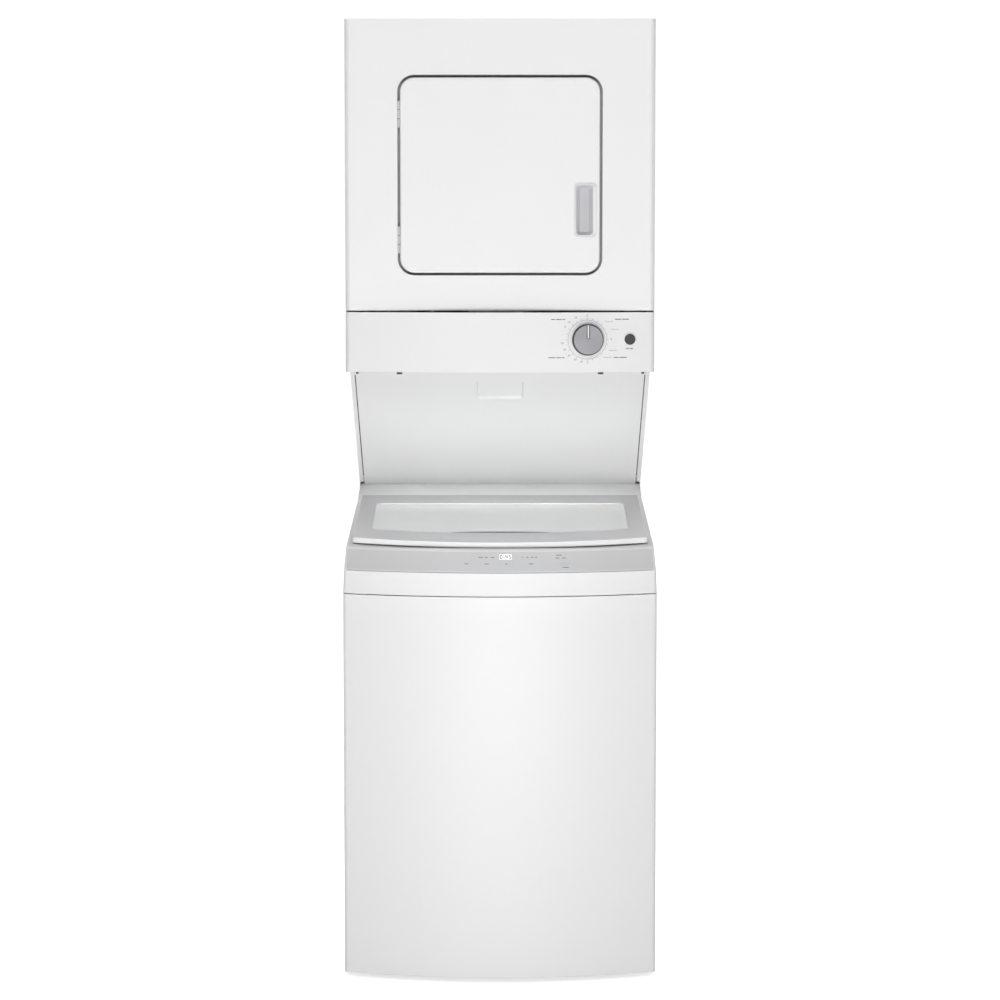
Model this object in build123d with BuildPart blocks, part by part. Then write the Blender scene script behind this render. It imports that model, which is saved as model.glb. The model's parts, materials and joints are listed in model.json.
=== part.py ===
"""Stacked washer and dryer, built as separate pieces in one frame.

Millimetres. X runs to the viewer's right, Y to the back and Z up. The origin is on the floor, under the
middle of the overall box.
"""

import os
from math import asin, atan2, cos, radians, sin, tan

from build123d import *

os.makedirs("parts", exist_ok=True)

# Overall sizes
WASHER_WIDTH = 596.0
DRYER_WIDTH = 584.0
HEIGHT = 1822.0
DEPTH = 695.0
FRONT_BOW = 50.0
CONSOLE_BOW = 24.0
DRYER_SETBACK = 22.0
COLLAR_REACH = 22.5

# Sheet and plastic
SHEET = 1.2
WALL = 3.0
CORNER = 10.0
PANEL_RETURN = 30.0
FLANGE = 14.0

# Clearances
SEAM = 3.0
COVER_SEAM = 1.6
GAP = 0.3
PIN_FIT = 0.05
LID_GAP = 3.0
DOOR_GAP = 5.0

# Heights of the washer
BASE_Z = 18.0
FRONT_FOOT_Z = 7.0
SHOULDER_Z = 741.0
FASCIA_Z = 785.0
FASCIA_RUN = 52.0
FASCIA_RISE = 37.5
FASCIA_END = 6.5
FASCIA_THICK = 2.0
FASCIA_LIP = 4.0
COVER_TAPER = 2.4
NECK_SETBACK = 61.5
NECK_RISE = 23.0
REAR_RIB_Z = (230.0, 430.0)
REAR_RIB_HEIGHT = 40.0
REAR_RIB_END = 108.0

# Lid
LID_TILT = 6.0
LID_SETBACK = 91.5
LID_STEP = 5.8
LID_SIDE = 14.0
LID_FRONT = 77.5
LID_THICK = 10.0
BEZEL_THICK = 2.5
BEZEL_INSET = 2.0
WINDOW_SIDE = 34.0
WINDOW_BACK = 85.0
WINDOW_FRONT = 75.0
WINDOW_BOW = 36.0
GLASS_LEDGE = 9.0
HINGE_INSET = 34.0
KNUCKLE_RADIUS = 4.5
LID_PIN_RADIUS = 2.2

# Tub and drive of the washer
TUB_Y = -40.0
TUB_RADIUS = 245.0
TUB_BOTTOM_Z = 390.0
TUB_TOP_Z = 755.0
BASKET_RADIUS = 215.0
BASKET_BOTTOM_Z = 428.0
BASKET_TOP_Z = 740.0
MOUTH_RADIUS = 190.0
SPIN_TUBE_RADIUS = 24.0
DRIVE_SHAFT_RADIUS = 12.0
WASH_PLATE_RADIUS = 165.0
PULLEY_Z = 255.0
PULLEY_WIDTH = 20.0
DRIVE_PULLEY_RADIUS = 85.0
MOTOR_PULLEY_RADIUS = 22.0
WASHER_MOTOR_Y = 115.0
WASHER_MOTOR_RADIUS = 60.0
WASHER_MOTOR_LENGTH = 100.0
GEARCASE_RADIUS = 72.0
GEARCASE_NECK_RADIUS = 50.0
GEARCASE_HEIGHT = 104.0
GEARCASE_FLANGE = 30.0
PUMP_X = -130.0
PUMP_SETBACK = 40.0
PUMP_RADIUS = 42.0
PUMP_HEIGHT = 46.0
PUMP_NECK_RADIUS = 22.0
PUMP_DROP = 36.0
PUMP_MOTOR_RADIUS = 30.0
PUMP_MOTOR_HEIGHT = 100.0
PUMP_STUB_RADIUS = 12.0
PUMP_STUB_LENGTH = 80.0
BELT_THICK = 4.0
STRUT_INSET = 36.0
STRUT_SETBACK = 62.5
EAR_INSET = 50.0
STRUT_CUP_RADIUS = 16.0
STRUT_CUP_LENGTH = 58.0
STRUT_ROD_RADIUS = 4.0
STRUT_ROD_LENGTH = 262.0
STRUT_BRACKET_WIDTH = 34.0
STRUT_BRACKET_Z = 250.0
INLET_X = (100.0, 150.0)
INLET_Z = 690.0
INLET_RADIUS = 13.3
INLET_REACH = 17.0

# Feet
FOOT_INSET = 36.0
FOOT_SETBACK = 39.5
FOOT_REAR_INSET = 37.0
FOOT_PAD_RADIUS = 21.0
FOOT_PAD_HEIGHT = 8.0
FOOT_STUD_RADIUS = 5.0
FOOT_STUD_LENGTH = 46.0
FOOT_NUT_HEIGHT = 7.0
FOOT_NUT_RADIUS = 10.0

# Dryer cabinet
DRYER_FRONT_HEIGHT = 546.0
CONSOLE_HEIGHT = 116.0
PAN_RISE = 4.0
SLOPE_SETBACK = 151.2
SLOPE_EDGE = 8.0
SLOPE_SEAM = 2.0
GRIP_WIDTH = 92.0
GRIP_LENGTH = 69.0
GRIP_DROP = 92.5
GRIP_DEPTH = 5.0
SUPPORT_DEPTH = 16.0
SUPPORT_WIDTH = 50.0
SUPPORT_INSET = 42.0
SUPPORT_FOOT_Z = 480.0

# Door
DOOR_WIDTH = 386.0
DOOR_HEIGHT = 376.0
DOOR_DROP = 292.0
DOOR_CORNER = 32.0
RECESS_DEPTH = 22.0
DOOR_PROUD = 1.0
DOOR_THICK = 17.0
DOOR_EDGE = 3.0
THROAT_WIDTH = 320.0
THROAT_HEIGHT = 306.0
THROAT_CORNER = 60.0
PLUG_DEPTH = 14.0
PLUG_SIDE = 12.0
DOOR_HINGE_RISE = (114.0, -121.0)
DOOR_HINGE_LENGTH = 50.0
DOOR_KNUCKLE_RADIUS = 2.2
DOOR_PIN_RADIUS = 1.1
HANDLE_X = 161.0
HANDLE_DROP = 65.0
HANDLE_WIDTH = 43.0
HANDLE_HEIGHT = 103.0
HANDLE_DEPTH = 12.0

# Console controls
KNOB_X = 164.5
KNOB_RISE = 62.0
KNOB_RADIUS = 29.0
KNOB_SKIRT_RADIUS = 33.0
KNOB_HEIGHT = 17.0
GROOVE_WIDTH = 6.0
GROOVE_DEPTH = 1.0
DIAL_RADIUS = 37.0
DIAL_PROUD = 1.2
KNOB_SHAFT_RADIUS = 4.0
START_X = 245.0
START_RADIUS = 10.0
START_PROUD = 5.5
START_TRAVEL = 3.0
START_RING_RADIUS = 13.0
CLIP_X = (190.0, 270.0)
CLIP_WIDTH = (10.0, 4.0)
CLIP_DEPTH = 18.0
CLIP_HEIGHT = 3.5
CLIP_HOOK = 6.0

# Drum and drive of the dryer
DRUM_RADIUS = 255.0
DRUM_FRONT_GAP = 3.2
DRUM_BACK_GAP = 4.0
BULKHEAD_RADIUS = 262.0
BULKHEAD_DEPTH = 30.0
HEATER_DEPTH = 85.0
BAFFLE_HEIGHT = 58.0
ROLLER_RADIUS = 34.0
ROLLER_ANGLE = 33.0
ROLLER_WIDTH = 20.0
ROLLER_STUD_RADIUS = 5.0
DRYER_MOTOR_X = 178.0
DRYER_MOTOR_RISE = 81.0
DRYER_MOTOR_RADIUS = 58.0
BLOWER_RADIUS = 56.0
BLOWER_WIDTH = 54.0
DRYER_PULLEY_RADIUS = 12.0
DRYER_PULLEY_Y = 55.0
DRYER_SHAFT_RADIUS = 6.0
EXHAUST_X = -102.0
EXHAUST_RADIUS = 50.8
LOUVRE_X = -140.0
LOUVRE_RISE = 30.0
TERMINAL_X = 170.0
TERMINAL_RISE = 76.0
LINT_WIDTH = 150.0
LINT_HEIGHT = 92.0

# Places that follow from the sizes above
HALF = WASHER_WIDTH / 2
DRYER_HALF = DRYER_WIDTH / 2
FRONT_Y = -DEPTH / 2
SIDE_Y = FRONT_Y + FRONT_BOW
BACK_Y = DEPTH / 2 - COLLAR_REACH
DRYER_Y = SIDE_Y + DRYER_SETBACK
BOW_RADIUS = (HALF**2 + FRONT_BOW**2) / (2 * FRONT_BOW)
BOW_AXIS = Axis((0, FRONT_Y + BOW_RADIUS, 0), (0, 0, 1))
DECK_Z = FASCIA_Z + FASCIA_RISE
FASCIA_HALF = HALF - FASCIA_END
NECK_FOOT_Y = BACK_Y - NECK_SETBACK
TILT = radians(LID_TILT)
LID_BACK_Y = NECK_FOOT_Y - LID_SETBACK
LID_HALF = HALF - LID_SIDE
LID_LENGTH = (LID_BACK_Y - SIDE_Y - LID_FRONT) / cos(TILT)
LID_BACK_Z = DECK_Z + LID_STEP + LID_LENGTH * sin(TILT)
NECK_FOOT_Z = LID_BACK_Z + NECK_RISE
WINDOW_HALF = LID_HALF - WINDOW_SIDE
WINDOW_LENGTH = LID_LENGTH - WINDOW_BACK - WINDOW_FRONT
HINGE_X = LID_HALF - HINGE_INSET
STRUT_X = HALF - STRUT_INSET
STRUT_REACH = min(TUB_RADIUS - EAR_INSET, TUB_Y - SIDE_Y - STRUT_SETBACK)
FOOT_X = HALF - FOOT_INSET
FOOT_Y = (SIDE_Y + FOOT_SETBACK, BACK_Y - FOOT_REAR_INSET)
SUPPORT_X = min(HALF, DRYER_HALF) - SUPPORT_INSET
DRYER_FRONT_Z = HEIGHT - DRYER_FRONT_HEIGHT
CONSOLE_Z = DRYER_FRONT_Z - CONSOLE_HEIGHT
KNOB_Z = CONSOLE_Z + KNOB_RISE
DOOR_Z = HEIGHT - DOOR_DROP
DOOR_HINGE_Z = [DOOR_Z + rise for rise in DOOR_HINGE_RISE]
HANDLE_Z = DOOR_Z - HANDLE_DROP
COVER_BACK_Y = BACK_Y - SHEET - SUPPORT_DEPTH - GAP
CONSOLE_RADIUS = (DRYER_HALF**2 + CONSOLE_BOW**2) / (2 * CONSOLE_BOW)
PAN_Z = CONSOLE_Z + PAN_RISE
DRYER_MOTOR_Z = PAN_Z + DRYER_MOTOR_RISE
RECESS_Y = DRYER_Y + RECESS_DEPTH
BULKHEAD_Y = RECESS_Y + GAP
REAR_BULKHEAD_Y = BACK_Y - HEATER_DEPTH
DRUM_FRONT_Y = BULKHEAD_Y + BULKHEAD_DEPTH + DRUM_FRONT_GAP
DRUM_BACK_Y = REAR_BULKHEAD_Y - DRUM_BACK_GAP
BLOWER_FRONT_Y = DRUM_FRONT_Y + 1.0
SLOPE_TOP_Y = DRYER_Y + SLOPE_SETBACK
SLOPE_ANGLE = atan2(CONSOLE_Z - NECK_FOOT_Z, NECK_FOOT_Y - SLOPE_TOP_Y)
SLOPE_LENGTH = (PAN_Z - SHEET - NECK_FOOT_Z) / sin(SLOPE_ANGLE)
GRIP_AT = SLOPE_LENGTH - GRIP_DROP
LID_BOW = FRONT_BOW * (LID_HALF / HALF) ** 2
TUB_AXIS = Axis((0, TUB_Y, 0), (0, 0, 1))
INSIDE = HALF - SHEET
DRYER_INSIDE = DRYER_HALF - SHEET

LID_PLANE = Plane(
    origin=(0, LID_BACK_Y, LID_BACK_Z), x_dir=(1, 0, 0), z_dir=(0, -sin(TILT), cos(TILT))
)
DECK_PLANE = LID_PLANE.offset(-LID_GAP)
HINGE_Y = DECK_PLANE.origin.Y
HINGE_Z = DECK_PLANE.origin.Z
SLOPE_PLANE = Plane(
    origin=(0, NECK_FOOT_Y, NECK_FOOT_Z),
    x_dir=(1, 0, 0),
    z_dir=(0, -sin(SLOPE_ANGLE), -cos(SLOPE_ANGLE)),
)


def save(builder, name):
    """Label one finished piece and write its file."""
    builder.part.label = name
    export_step(builder.part, f"parts/{name}.step")


def facing(y):
    """A plane across the machine at depth y, seen from the front."""
    return Plane.XZ.offset(-y)


def level(z):
    """A level plane at height z."""
    return Plane.XY.offset(z)


def bowed_plan(half, side_y, bow, back_y, corner=0.0):
    """Add a rectangle with an arched or straight front edge to the sketch."""
    with BuildLine() as outline:
        if bow:
            front = ThreePointArc((-half, side_y), (0, side_y - bow), (half, side_y))
        else:
            front = Line((-half, side_y), (half, side_y))
        Polyline(front @ 1, (half, back_y), (-half, back_y), front @ 0)
    face = make_face(outline.edges())
    if corner:
        fillet(face.vertices().group_by(Axis.Y)[0], corner)


def deck_height(y):
    """Height of the tilted deck under the lid at depth y."""
    return HINGE_Z + (y - HINGE_Y) * tan(TILT)


def console_face(x, z):
    """A plane touching the bowed console at x, facing out."""
    angle = asin(x / CONSOLE_RADIUS)
    y = DRYER_Y - CONSOLE_BOW + CONSOLE_RADIUS * (1 - cos(angle))
    return Plane(
        origin=(x, y, z),
        x_dir=(cos(angle), sin(angle), 0),
        z_dir=(sin(angle), -cos(angle), 0),
    )


KNOB_PLANE = console_face(KNOB_X, KNOB_Z)
START_PLANE = console_face(START_X, KNOB_Z)

# Base frame, a channel ring that the feet screw into
RAIL_WIDTH = 44.0
RAIL_HEIGHT = 34.0
RAIL_WALL = 2.0
BASE_FRONT_Y = SIDE_Y + CORNER + 2.0
BASE_DEPTH = BACK_Y - SHEET - BASE_FRONT_Y
BASE_MIDDLE = Location((0, (BASE_FRONT_Y + BACK_Y - SHEET) / 2, 0))
with BuildPart() as base_frame:
    with BuildSketch(level(BASE_Z)):
        with Locations(BASE_MIDDLE):
            Rectangle(2 * INSIDE, BASE_DEPTH)
            Rectangle(2 * (INSIDE - RAIL_WIDTH), BASE_DEPTH - 2 * RAIL_WIDTH, mode=Mode.SUBTRACT)
    extrude(amount=RAIL_HEIGHT)
    with BuildSketch(level(BASE_Z + RAIL_WALL)):
        with Locations(BASE_MIDDLE):
            Rectangle(2 * (INSIDE - RAIL_WALL), BASE_DEPTH - 2 * RAIL_WALL)
            inner = RAIL_WIDTH - RAIL_WALL
            Rectangle(2 * (INSIDE - inner), BASE_DEPTH - 2 * inner, mode=Mode.SUBTRACT)
    extrude(amount=RAIL_HEIGHT, mode=Mode.SUBTRACT)
    with Locations(*[(x, y, BASE_Z) for x in (-FOOT_X, FOOT_X) for y in FOOT_Y]):
        Cylinder(FOOT_STUD_RADIUS + PIN_FIT, 4 * RAIL_WALL, mode=Mode.SUBTRACT)
save(base_frame, "base_frame")

# Levelling feet, a pad and a nut on a threaded stud
for row, y in zip(("front", "rear"), FOOT_Y):
    for side, x in (("left", -FOOT_X), ("right", FOOT_X)):
        with BuildPart() as foot:
            with Locations((x, y, 0)):
                Cylinder(FOOT_PAD_RADIUS, FOOT_PAD_HEIGHT, align=(Align.CENTER, Align.CENTER, Align.MIN))
                Cylinder(FOOT_STUD_RADIUS, FOOT_STUD_LENGTH, align=(Align.CENTER, Align.CENTER, Align.MIN))
            fillet(foot.edges().group_by(Axis.Z)[0], 2)
            with BuildSketch(level(BASE_Z - FOOT_NUT_HEIGHT)):
                with Locations((x, y)):
                    RegularPolygon(FOOT_NUT_RADIUS, 6)
            extrude(amount=FOOT_NUT_HEIGHT - GAP)
        save(foot, f"foot_{row}_{side}")

# Washer side panels, sheets with a flange at each end
SIDE_FRONT = SIDE_Y + PANEL_RETURN + GAP
for side, sign in (("left", -1), ("right", 1)):
    with BuildPart() as washer_side:
        with BuildSketch(level(BASE_Z)):
            with Locations((sign * (HALF - SHEET / 2), (SIDE_FRONT + BACK_Y - SHEET) / 2)):
                Rectangle(SHEET, BACK_Y - SHEET - SIDE_FRONT)
        extrude(amount=SHOULDER_Z - BASE_Z)
        with BuildSketch(level(BASE_Z + RAIL_HEIGHT + GAP)):
            for y in (SIDE_FRONT + SHEET / 2, BACK_Y - 1.5 * SHEET):
                with Locations((sign * (INSIDE - FLANGE / 2), y)):
                    Rectangle(FLANGE, SHEET)
        extrude(amount=SHOULDER_Z - BASE_Z - RAIL_HEIGHT - GAP)
    save(washer_side, f"washer_side_{side}")

# Washer rear panel, with holes for the two water inlets and two stiffening ribs
with BuildPart() as washer_rear_panel:
    with BuildSketch(facing(BACK_Y)):
        with Locations((0, (BASE_Z + SHOULDER_Z) / 2)):
            Rectangle(WASHER_WIDTH, SHOULDER_Z - BASE_Z)
        with Locations(*[(x, INLET_Z) for x in INLET_X]):
            Circle(INLET_RADIUS + 1.0, mode=Mode.SUBTRACT)
    extrude(amount=SHEET)
    with BuildSketch(facing(BACK_Y)):
        with Locations(*[(0, z) for z in REAR_RIB_Z]):
            RectangleRounded(WASHER_WIDTH - 2 * REAR_RIB_END, REAR_RIB_HEIGHT, 0.45 * REAR_RIB_HEIGHT)
    extrude(amount=-3.0)
save(washer_rear_panel, "washer_rear_panel")

# Washer front panel, a bowed sheet with rounded corners and side returns
with BuildPart() as washer_front_panel:
    with BuildSketch(level(FRONT_FOOT_Z)):
        bowed_plan(HALF, SIDE_Y, FRONT_BOW, SIDE_Y + PANEL_RETURN, CORNER)
    extrude(amount=SHOULDER_Z - COVER_SEAM - FRONT_FOOT_Z)
    with BuildSketch(level(FRONT_FOOT_Z)):
        bowed_plan(INSIDE, SIDE_Y + SHEET, FRONT_BOW, SIDE_Y + 2 * PANEL_RETURN, CORNER - SHEET)
    extrude(amount=SHOULDER_Z, mode=Mode.SUBTRACT)
save(washer_front_panel, "washer_front_panel")


# Top cover, a tapered tray with a sloped nose for the fascia and a tilted deck for the lid
def cover_block(inset):
    """The cover's outer form, or its hollow when it is inset."""
    fall = inset + (FASCIA_THICK if inset else 0.0)
    with BuildPart() as block:
        with BuildSketch(level(SHOULDER_Z)):
            bowed_plan(HALF - inset, SIDE_Y + inset, FRONT_BOW, COVER_BACK_Y - inset, CORNER - inset)
        extrude(amount=NECK_FOOT_Z - SHOULDER_Z - inset, taper=COVER_TAPER)
        flat_end = HINGE_Y - (HINGE_Z - DECK_Z) / tan(TILT)
        ledge_y = HINGE_Y + 12.0
        with BuildSketch(Plane.YZ):
            with BuildLine():
                Polyline(
                    (FRONT_Y - 20, DECK_Z - inset),
                    (flat_end, DECK_Z - inset),
                    (ledge_y, deck_height(ledge_y) - inset),
                    (NECK_FOOT_Y, NECK_FOOT_Z - inset),
                    (NECK_FOOT_Y, HEIGHT),
                    (FRONT_Y - 20, HEIGHT),
                    close=True,
                )
            make_face()
        extrude(amount=WASHER_WIDTH, both=True, mode=Mode.SUBTRACT)
        rise = FASCIA_RISE / FASCIA_RUN
        with BuildSketch(Plane.YZ):
            with BuildLine():
                Polyline(
                    (FRONT_Y - 20, FASCIA_Z - fall - 20 * rise),
                    (FRONT_Y + FASCIA_RUN + 20, DECK_Z - fall + 20 * rise),
                    (FRONT_Y + FASCIA_RUN + 20, HEIGHT),
                    (FRONT_Y - 20, HEIGHT),
                    close=True,
                )
            make_face()
        revolve(axis=BOW_AXIS, mode=Mode.SUBTRACT)
    return block.part


# The band that the fascia fills, following the bow
with BuildPart() as fascia_band:
    slant = FASCIA_RISE / FASCIA_RUN
    with BuildSketch(Plane.YZ):
        with BuildLine():
            start = FRONT_Y + FASCIA_LIP
            end = FRONT_Y + FASCIA_RUN - FASCIA_LIP
            low = FASCIA_Z - FASCIA_THICK
            Polyline(
                (start, low + FASCIA_LIP * slant),
                (end, low + (FASCIA_RUN - FASCIA_LIP) * slant),
                (end, NECK_FOOT_Z),
                (start, NECK_FOOT_Z),
                close=True,
            )
        make_face()
    revolve(axis=BOW_AXIS)
    with Locations((0, FRONT_Y, DECK_Z)):
        Box(2 * FASCIA_HALF, DEPTH, HEIGHT / 4, mode=Mode.INTERSECT)

CHUTE_Z = TUB_TOP_Z + 27.0
MOUTH_Y = LID_BACK_Y - WINDOW_BACK - WINDOW_LENGTH / 2 - 12.0
outer_block = cover_block(0.0)
with BuildPart() as chute:
    with BuildSketch(level(CHUTE_Z)):
        with Locations((0, MOUTH_Y)):
            RectangleRounded(2 * (WINDOW_HALF - 12), WINDOW_LENGTH + 76, 113)
    extrude(amount=NECK_FOOT_Z - CHUTE_Z)
    add(outer_block, mode=Mode.INTERSECT)

SLOT_WIDTH = 32.0
with BuildPart() as top_cover:
    add(outer_block)
    add(cover_block(WALL), mode=Mode.SUBTRACT)
    add(chute.part)
    add(fascia_band.part, mode=Mode.SUBTRACT)
    with BuildSketch(level(SHOULDER_Z)):
        with Locations((0, MOUTH_Y)):
            RectangleRounded(2 * (WINDOW_HALF - 15), WINDOW_LENGTH + 70, 110)
    extrude(amount=HEIGHT / 4, mode=Mode.SUBTRACT)
    with BuildSketch(level(SHOULDER_Z)):
        with Locations((-HINGE_X, HINGE_Y - 0.5), (HINGE_X, HINGE_Y - 0.5)):
            Rectangle(SLOT_WIDTH, 2 * KNUCKLE_RADIUS + 6)
    extrude(amount=HEIGHT / 4, mode=Mode.SUBTRACT)
    with BuildSketch(Plane.YZ):
        with Locations((FRONT_Y, FASCIA_Z - 8)):
            Rectangle(3.0, 1.4)
    revolve(axis=BOW_AXIS, mode=Mode.SUBTRACT)
    with BuildSketch(DECK_PLANE):
        with Locations(*[(x, y) for x in (-LID_HALF + 4, LID_HALF - 4) for y in (-60, 60 - LID_LENGTH)]):
            Circle(4)
    extrude(amount=LID_GAP)
save(top_cover, "top_cover")

# Silver fascia, the band trimmed to the cover's outside, with a pocket for the display
DISPLAY_X = 11.0
DISPLAY_WIDTH = 26.0
SLANT_PLANE = Plane(
    origin=(DISPLAY_X, FRONT_Y + FASCIA_RUN * 0.45, FASCIA_Z + FASCIA_RISE * 0.45),
    x_dir=(1, 0, 0),
    z_dir=(0, -FASCIA_RISE, FASCIA_RUN),
)
with BuildPart() as control_fascia:
    add(outer_block)
    add(fascia_band.part, mode=Mode.INTERSECT)
    with BuildSketch(SLANT_PLANE.offset(-1.2)):
        RectangleRounded(DISPLAY_WIDTH + 2 * GAP, 22 + 2 * GAP, 3)
    extrude(amount=8, mode=Mode.SUBTRACT)
save(control_fascia, "control_fascia")

# Display window in that pocket
with BuildPart() as display_window:
    with BuildSketch(SLANT_PLANE.offset(-1.2)):
        RectangleRounded(DISPLAY_WIDTH, 22, 3)
    extrude(amount=1.0)
save(display_window, "display_window")


def lid_outline(inset):
    """The lid's outline in its own plane, drawn in by an inset."""
    bowed_plan(LID_HALF - inset, inset - LID_LENGTH, LID_BOW, -inset, 8.0 - inset)


def window_outline(inset):
    """The lid window's outline, drawn in by an inset."""
    front = -WINDOW_BACK - WINDOW_LENGTH
    bowed_plan(WINDOW_HALF - inset, front + inset, WINDOW_BOW, -WINDOW_BACK - inset, 14.0)


# Lid frame, a white tray turned down over its rim, with hinge ears at the back
EAR_WIDTH = 8.0
with BuildPart() as lid_frame:
    with BuildSketch(LID_PLANE):
        lid_outline(0.0)
    extrude(amount=LID_THICK)
    fillet(lid_frame.faces().sort_by(Axis.Z)[-1].edges(), 0.8)
    with BuildSketch(LID_PLANE):
        lid_outline(WALL)
    extrude(amount=LID_THICK - BEZEL_THICK - WALL, mode=Mode.SUBTRACT)
    with BuildSketch(LID_PLANE.offset(LID_THICK - BEZEL_THICK)):
        lid_outline(BEZEL_INSET)
    extrude(amount=BEZEL_THICK + 1, mode=Mode.SUBTRACT)
    with BuildSketch(LID_PLANE):
        window_outline(GLASS_LEDGE)
    extrude(amount=LID_THICK, mode=Mode.SUBTRACT)
    for x in (-HINGE_X, HINGE_X):
        for step in (-1, 1):
            ear_x = x + step * (EAR_WIDTH / 2 + 5.0 + GAP)
            with BuildSketch(Plane.YZ.offset(ear_x - EAR_WIDTH / 2)):
                with Locations((HINGE_Y, HINGE_Z)):
                    Circle(KNUCKLE_RADIUS)
                with Locations(Location((HINGE_Y, HINGE_Z, 0), (0, 0, LID_TILT))):
                    with Locations((-2.25, 2.4)):
                        Rectangle(KNUCKLE_RADIUS, 4.8)
                with Locations((HINGE_Y, HINGE_Z)):
                    Circle(LID_PIN_RADIUS + PIN_FIT, mode=Mode.SUBTRACT)
            extrude(amount=EAR_WIDTH)
        with BuildSketch(LID_PLANE):
            with Locations((x, 0)):
                Rectangle(10 + 2 * GAP, 8)
        extrude(amount=KNUCKLE_RADIUS - LID_GAP + 1.5, mode=Mode.SUBTRACT)
save(lid_frame, "lid_frame")

# Silver bezel let into the top of the lid
with BuildPart() as lid_bezel:
    with BuildSketch(LID_PLANE.offset(LID_THICK - BEZEL_THICK)):
        lid_outline(BEZEL_INSET + PIN_FIT)
    extrude(amount=BEZEL_THICK)
    with BuildSketch(LID_PLANE.offset(LID_THICK - BEZEL_THICK)):
        window_outline(-GAP)
    extrude(amount=BEZEL_THICK, mode=Mode.SUBTRACT)
save(lid_bezel, "lid_bezel")

# Lid glass, resting on the frame's ledge inside the bezel
with BuildPart() as lid_glass:
    with BuildSketch(LID_PLANE.offset(LID_THICK - BEZEL_THICK)):
        window_outline(0.0)
    extrude(amount=BEZEL_THICK - 0.4)
save(lid_glass, "lid_glass")

# Lid hinge brackets under the deck, each with its pin
with BuildPart() as lid_hinge_brackets:
    for x in (-HINGE_X, HINGE_X):
        with BuildSketch(Plane.YZ.offset(x - 5)):
            with Locations((HINGE_Y, HINGE_Z)):
                Circle(KNUCKLE_RADIUS)
            with Locations((HINGE_Y, HINGE_Z - 8)):
                Rectangle(2 * KNUCKLE_RADIUS, 16)
        extrude(amount=10)
        with BuildSketch(Plane.YZ.offset(x - SLOT_WIDTH / 2 - 8)):
            with BuildLine():
                front_y, rear_y = HINGE_Y - 34, HINGE_Y + KNUCKLE_RADIUS
                drop = WALL / cos(TILT)
                Polyline(
                    (front_y, deck_height(front_y) - drop),
                    (HINGE_Y - 9, deck_height(HINGE_Y - 9) - drop),
                    (HINGE_Y - 9, HINGE_Z - 11),
                    (rear_y, HINGE_Z - 11),
                    (rear_y, HINGE_Z - 16),
                    (front_y, HINGE_Z - 16),
                    close=True,
                )
            make_face()
        extrude(amount=SLOT_WIDTH + 16)
        with BuildSketch(Plane.YZ.offset(x - 5 - GAP - EAR_WIDTH)):
            with Locations((HINGE_Y, HINGE_Z)):
                Circle(LID_PIN_RADIUS)
        extrude(amount=2 * (5 + GAP + EAR_WIDTH))
save(lid_hinge_brackets, "lid_hinge_brackets")

# Outer tub, a deep pail with four ears for the struts
EAR_Z = TUB_BOTTOM_Z + 50.0
with BuildPart() as outer_tub:
    with Locations((0, TUB_Y, TUB_BOTTOM_Z)):
        Cylinder(TUB_RADIUS, TUB_TOP_Z - TUB_BOTTOM_Z, align=(Align.CENTER, Align.CENTER, Align.MIN))
    for x in (-STRUT_X, STRUT_X):
        for y in (-STRUT_REACH, STRUT_REACH):
            with Locations((x * 0.8, TUB_Y + y, EAR_Z)):
                Box(abs(x) * 0.5, 40, 6, align=(Align.CENTER, Align.CENTER, Align.MIN))
            with Locations((x, TUB_Y + y, EAR_Z)):
                Cylinder(5, 20, mode=Mode.SUBTRACT)
    with Locations((0, TUB_Y, TUB_BOTTOM_Z + 4)):
        Cylinder(
            TUB_RADIUS - WALL,
            TUB_TOP_Z - TUB_BOTTOM_Z,
            align=(Align.CENTER, Align.CENTER, Align.MIN),
            mode=Mode.SUBTRACT,
        )
    with Locations((0, TUB_Y, TUB_BOTTOM_Z)):
        Cylinder(SPIN_TUBE_RADIUS + 1, 20, mode=Mode.SUBTRACT)
save(outer_tub, "outer_tub")

# Tub ring over the tub's rim
with BuildPart() as tub_ring:
    with BuildSketch(Plane.YZ):
        with BuildLine():
            Polyline(
                (TUB_Y + TUB_RADIUS + 2, TUB_TOP_Z),
                (TUB_Y + TUB_RADIUS + 2, TUB_TOP_Z + 6),
                (TUB_Y + MOUTH_RADIUS + 6, TUB_TOP_Z + 18),
                (TUB_Y + MOUTH_RADIUS, TUB_TOP_Z + 16),
                (TUB_Y + MOUTH_RADIUS, TUB_TOP_Z + 8),
                (TUB_Y + TUB_RADIUS - WALL, TUB_TOP_Z),
                close=True,
            )
        make_face()
    revolve(axis=TUB_AXIS)
save(tub_ring, "tub_ring")

# Basket with its spin tube
with BuildPart() as basket:
    with BuildSketch(Plane.YZ):
        with BuildLine():
            Polyline(
                (TUB_Y + DRIVE_SHAFT_RADIUS + 3, BASKET_BOTTOM_Z - 88),
                (TUB_Y + SPIN_TUBE_RADIUS, BASKET_BOTTOM_Z - 88),
                (TUB_Y + SPIN_TUBE_RADIUS, BASKET_BOTTOM_Z - 4),
                (TUB_Y + BASKET_RADIUS - 18, BASKET_BOTTOM_Z - 4),
                (TUB_Y + BASKET_RADIUS, BASKET_BOTTOM_Z + 14),
                (TUB_Y + BASKET_RADIUS, BASKET_TOP_Z),
                (TUB_Y + BASKET_RADIUS - SHEET, BASKET_TOP_Z),
                (TUB_Y + BASKET_RADIUS - SHEET, BASKET_BOTTOM_Z + 15),
                (TUB_Y + BASKET_RADIUS - 19, BASKET_BOTTOM_Z),
                (TUB_Y + DRIVE_SHAFT_RADIUS + 3, BASKET_BOTTOM_Z),
                close=True,
            )
        make_face()
    revolve(axis=TUB_AXIS)
save(basket, "basket")

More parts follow.
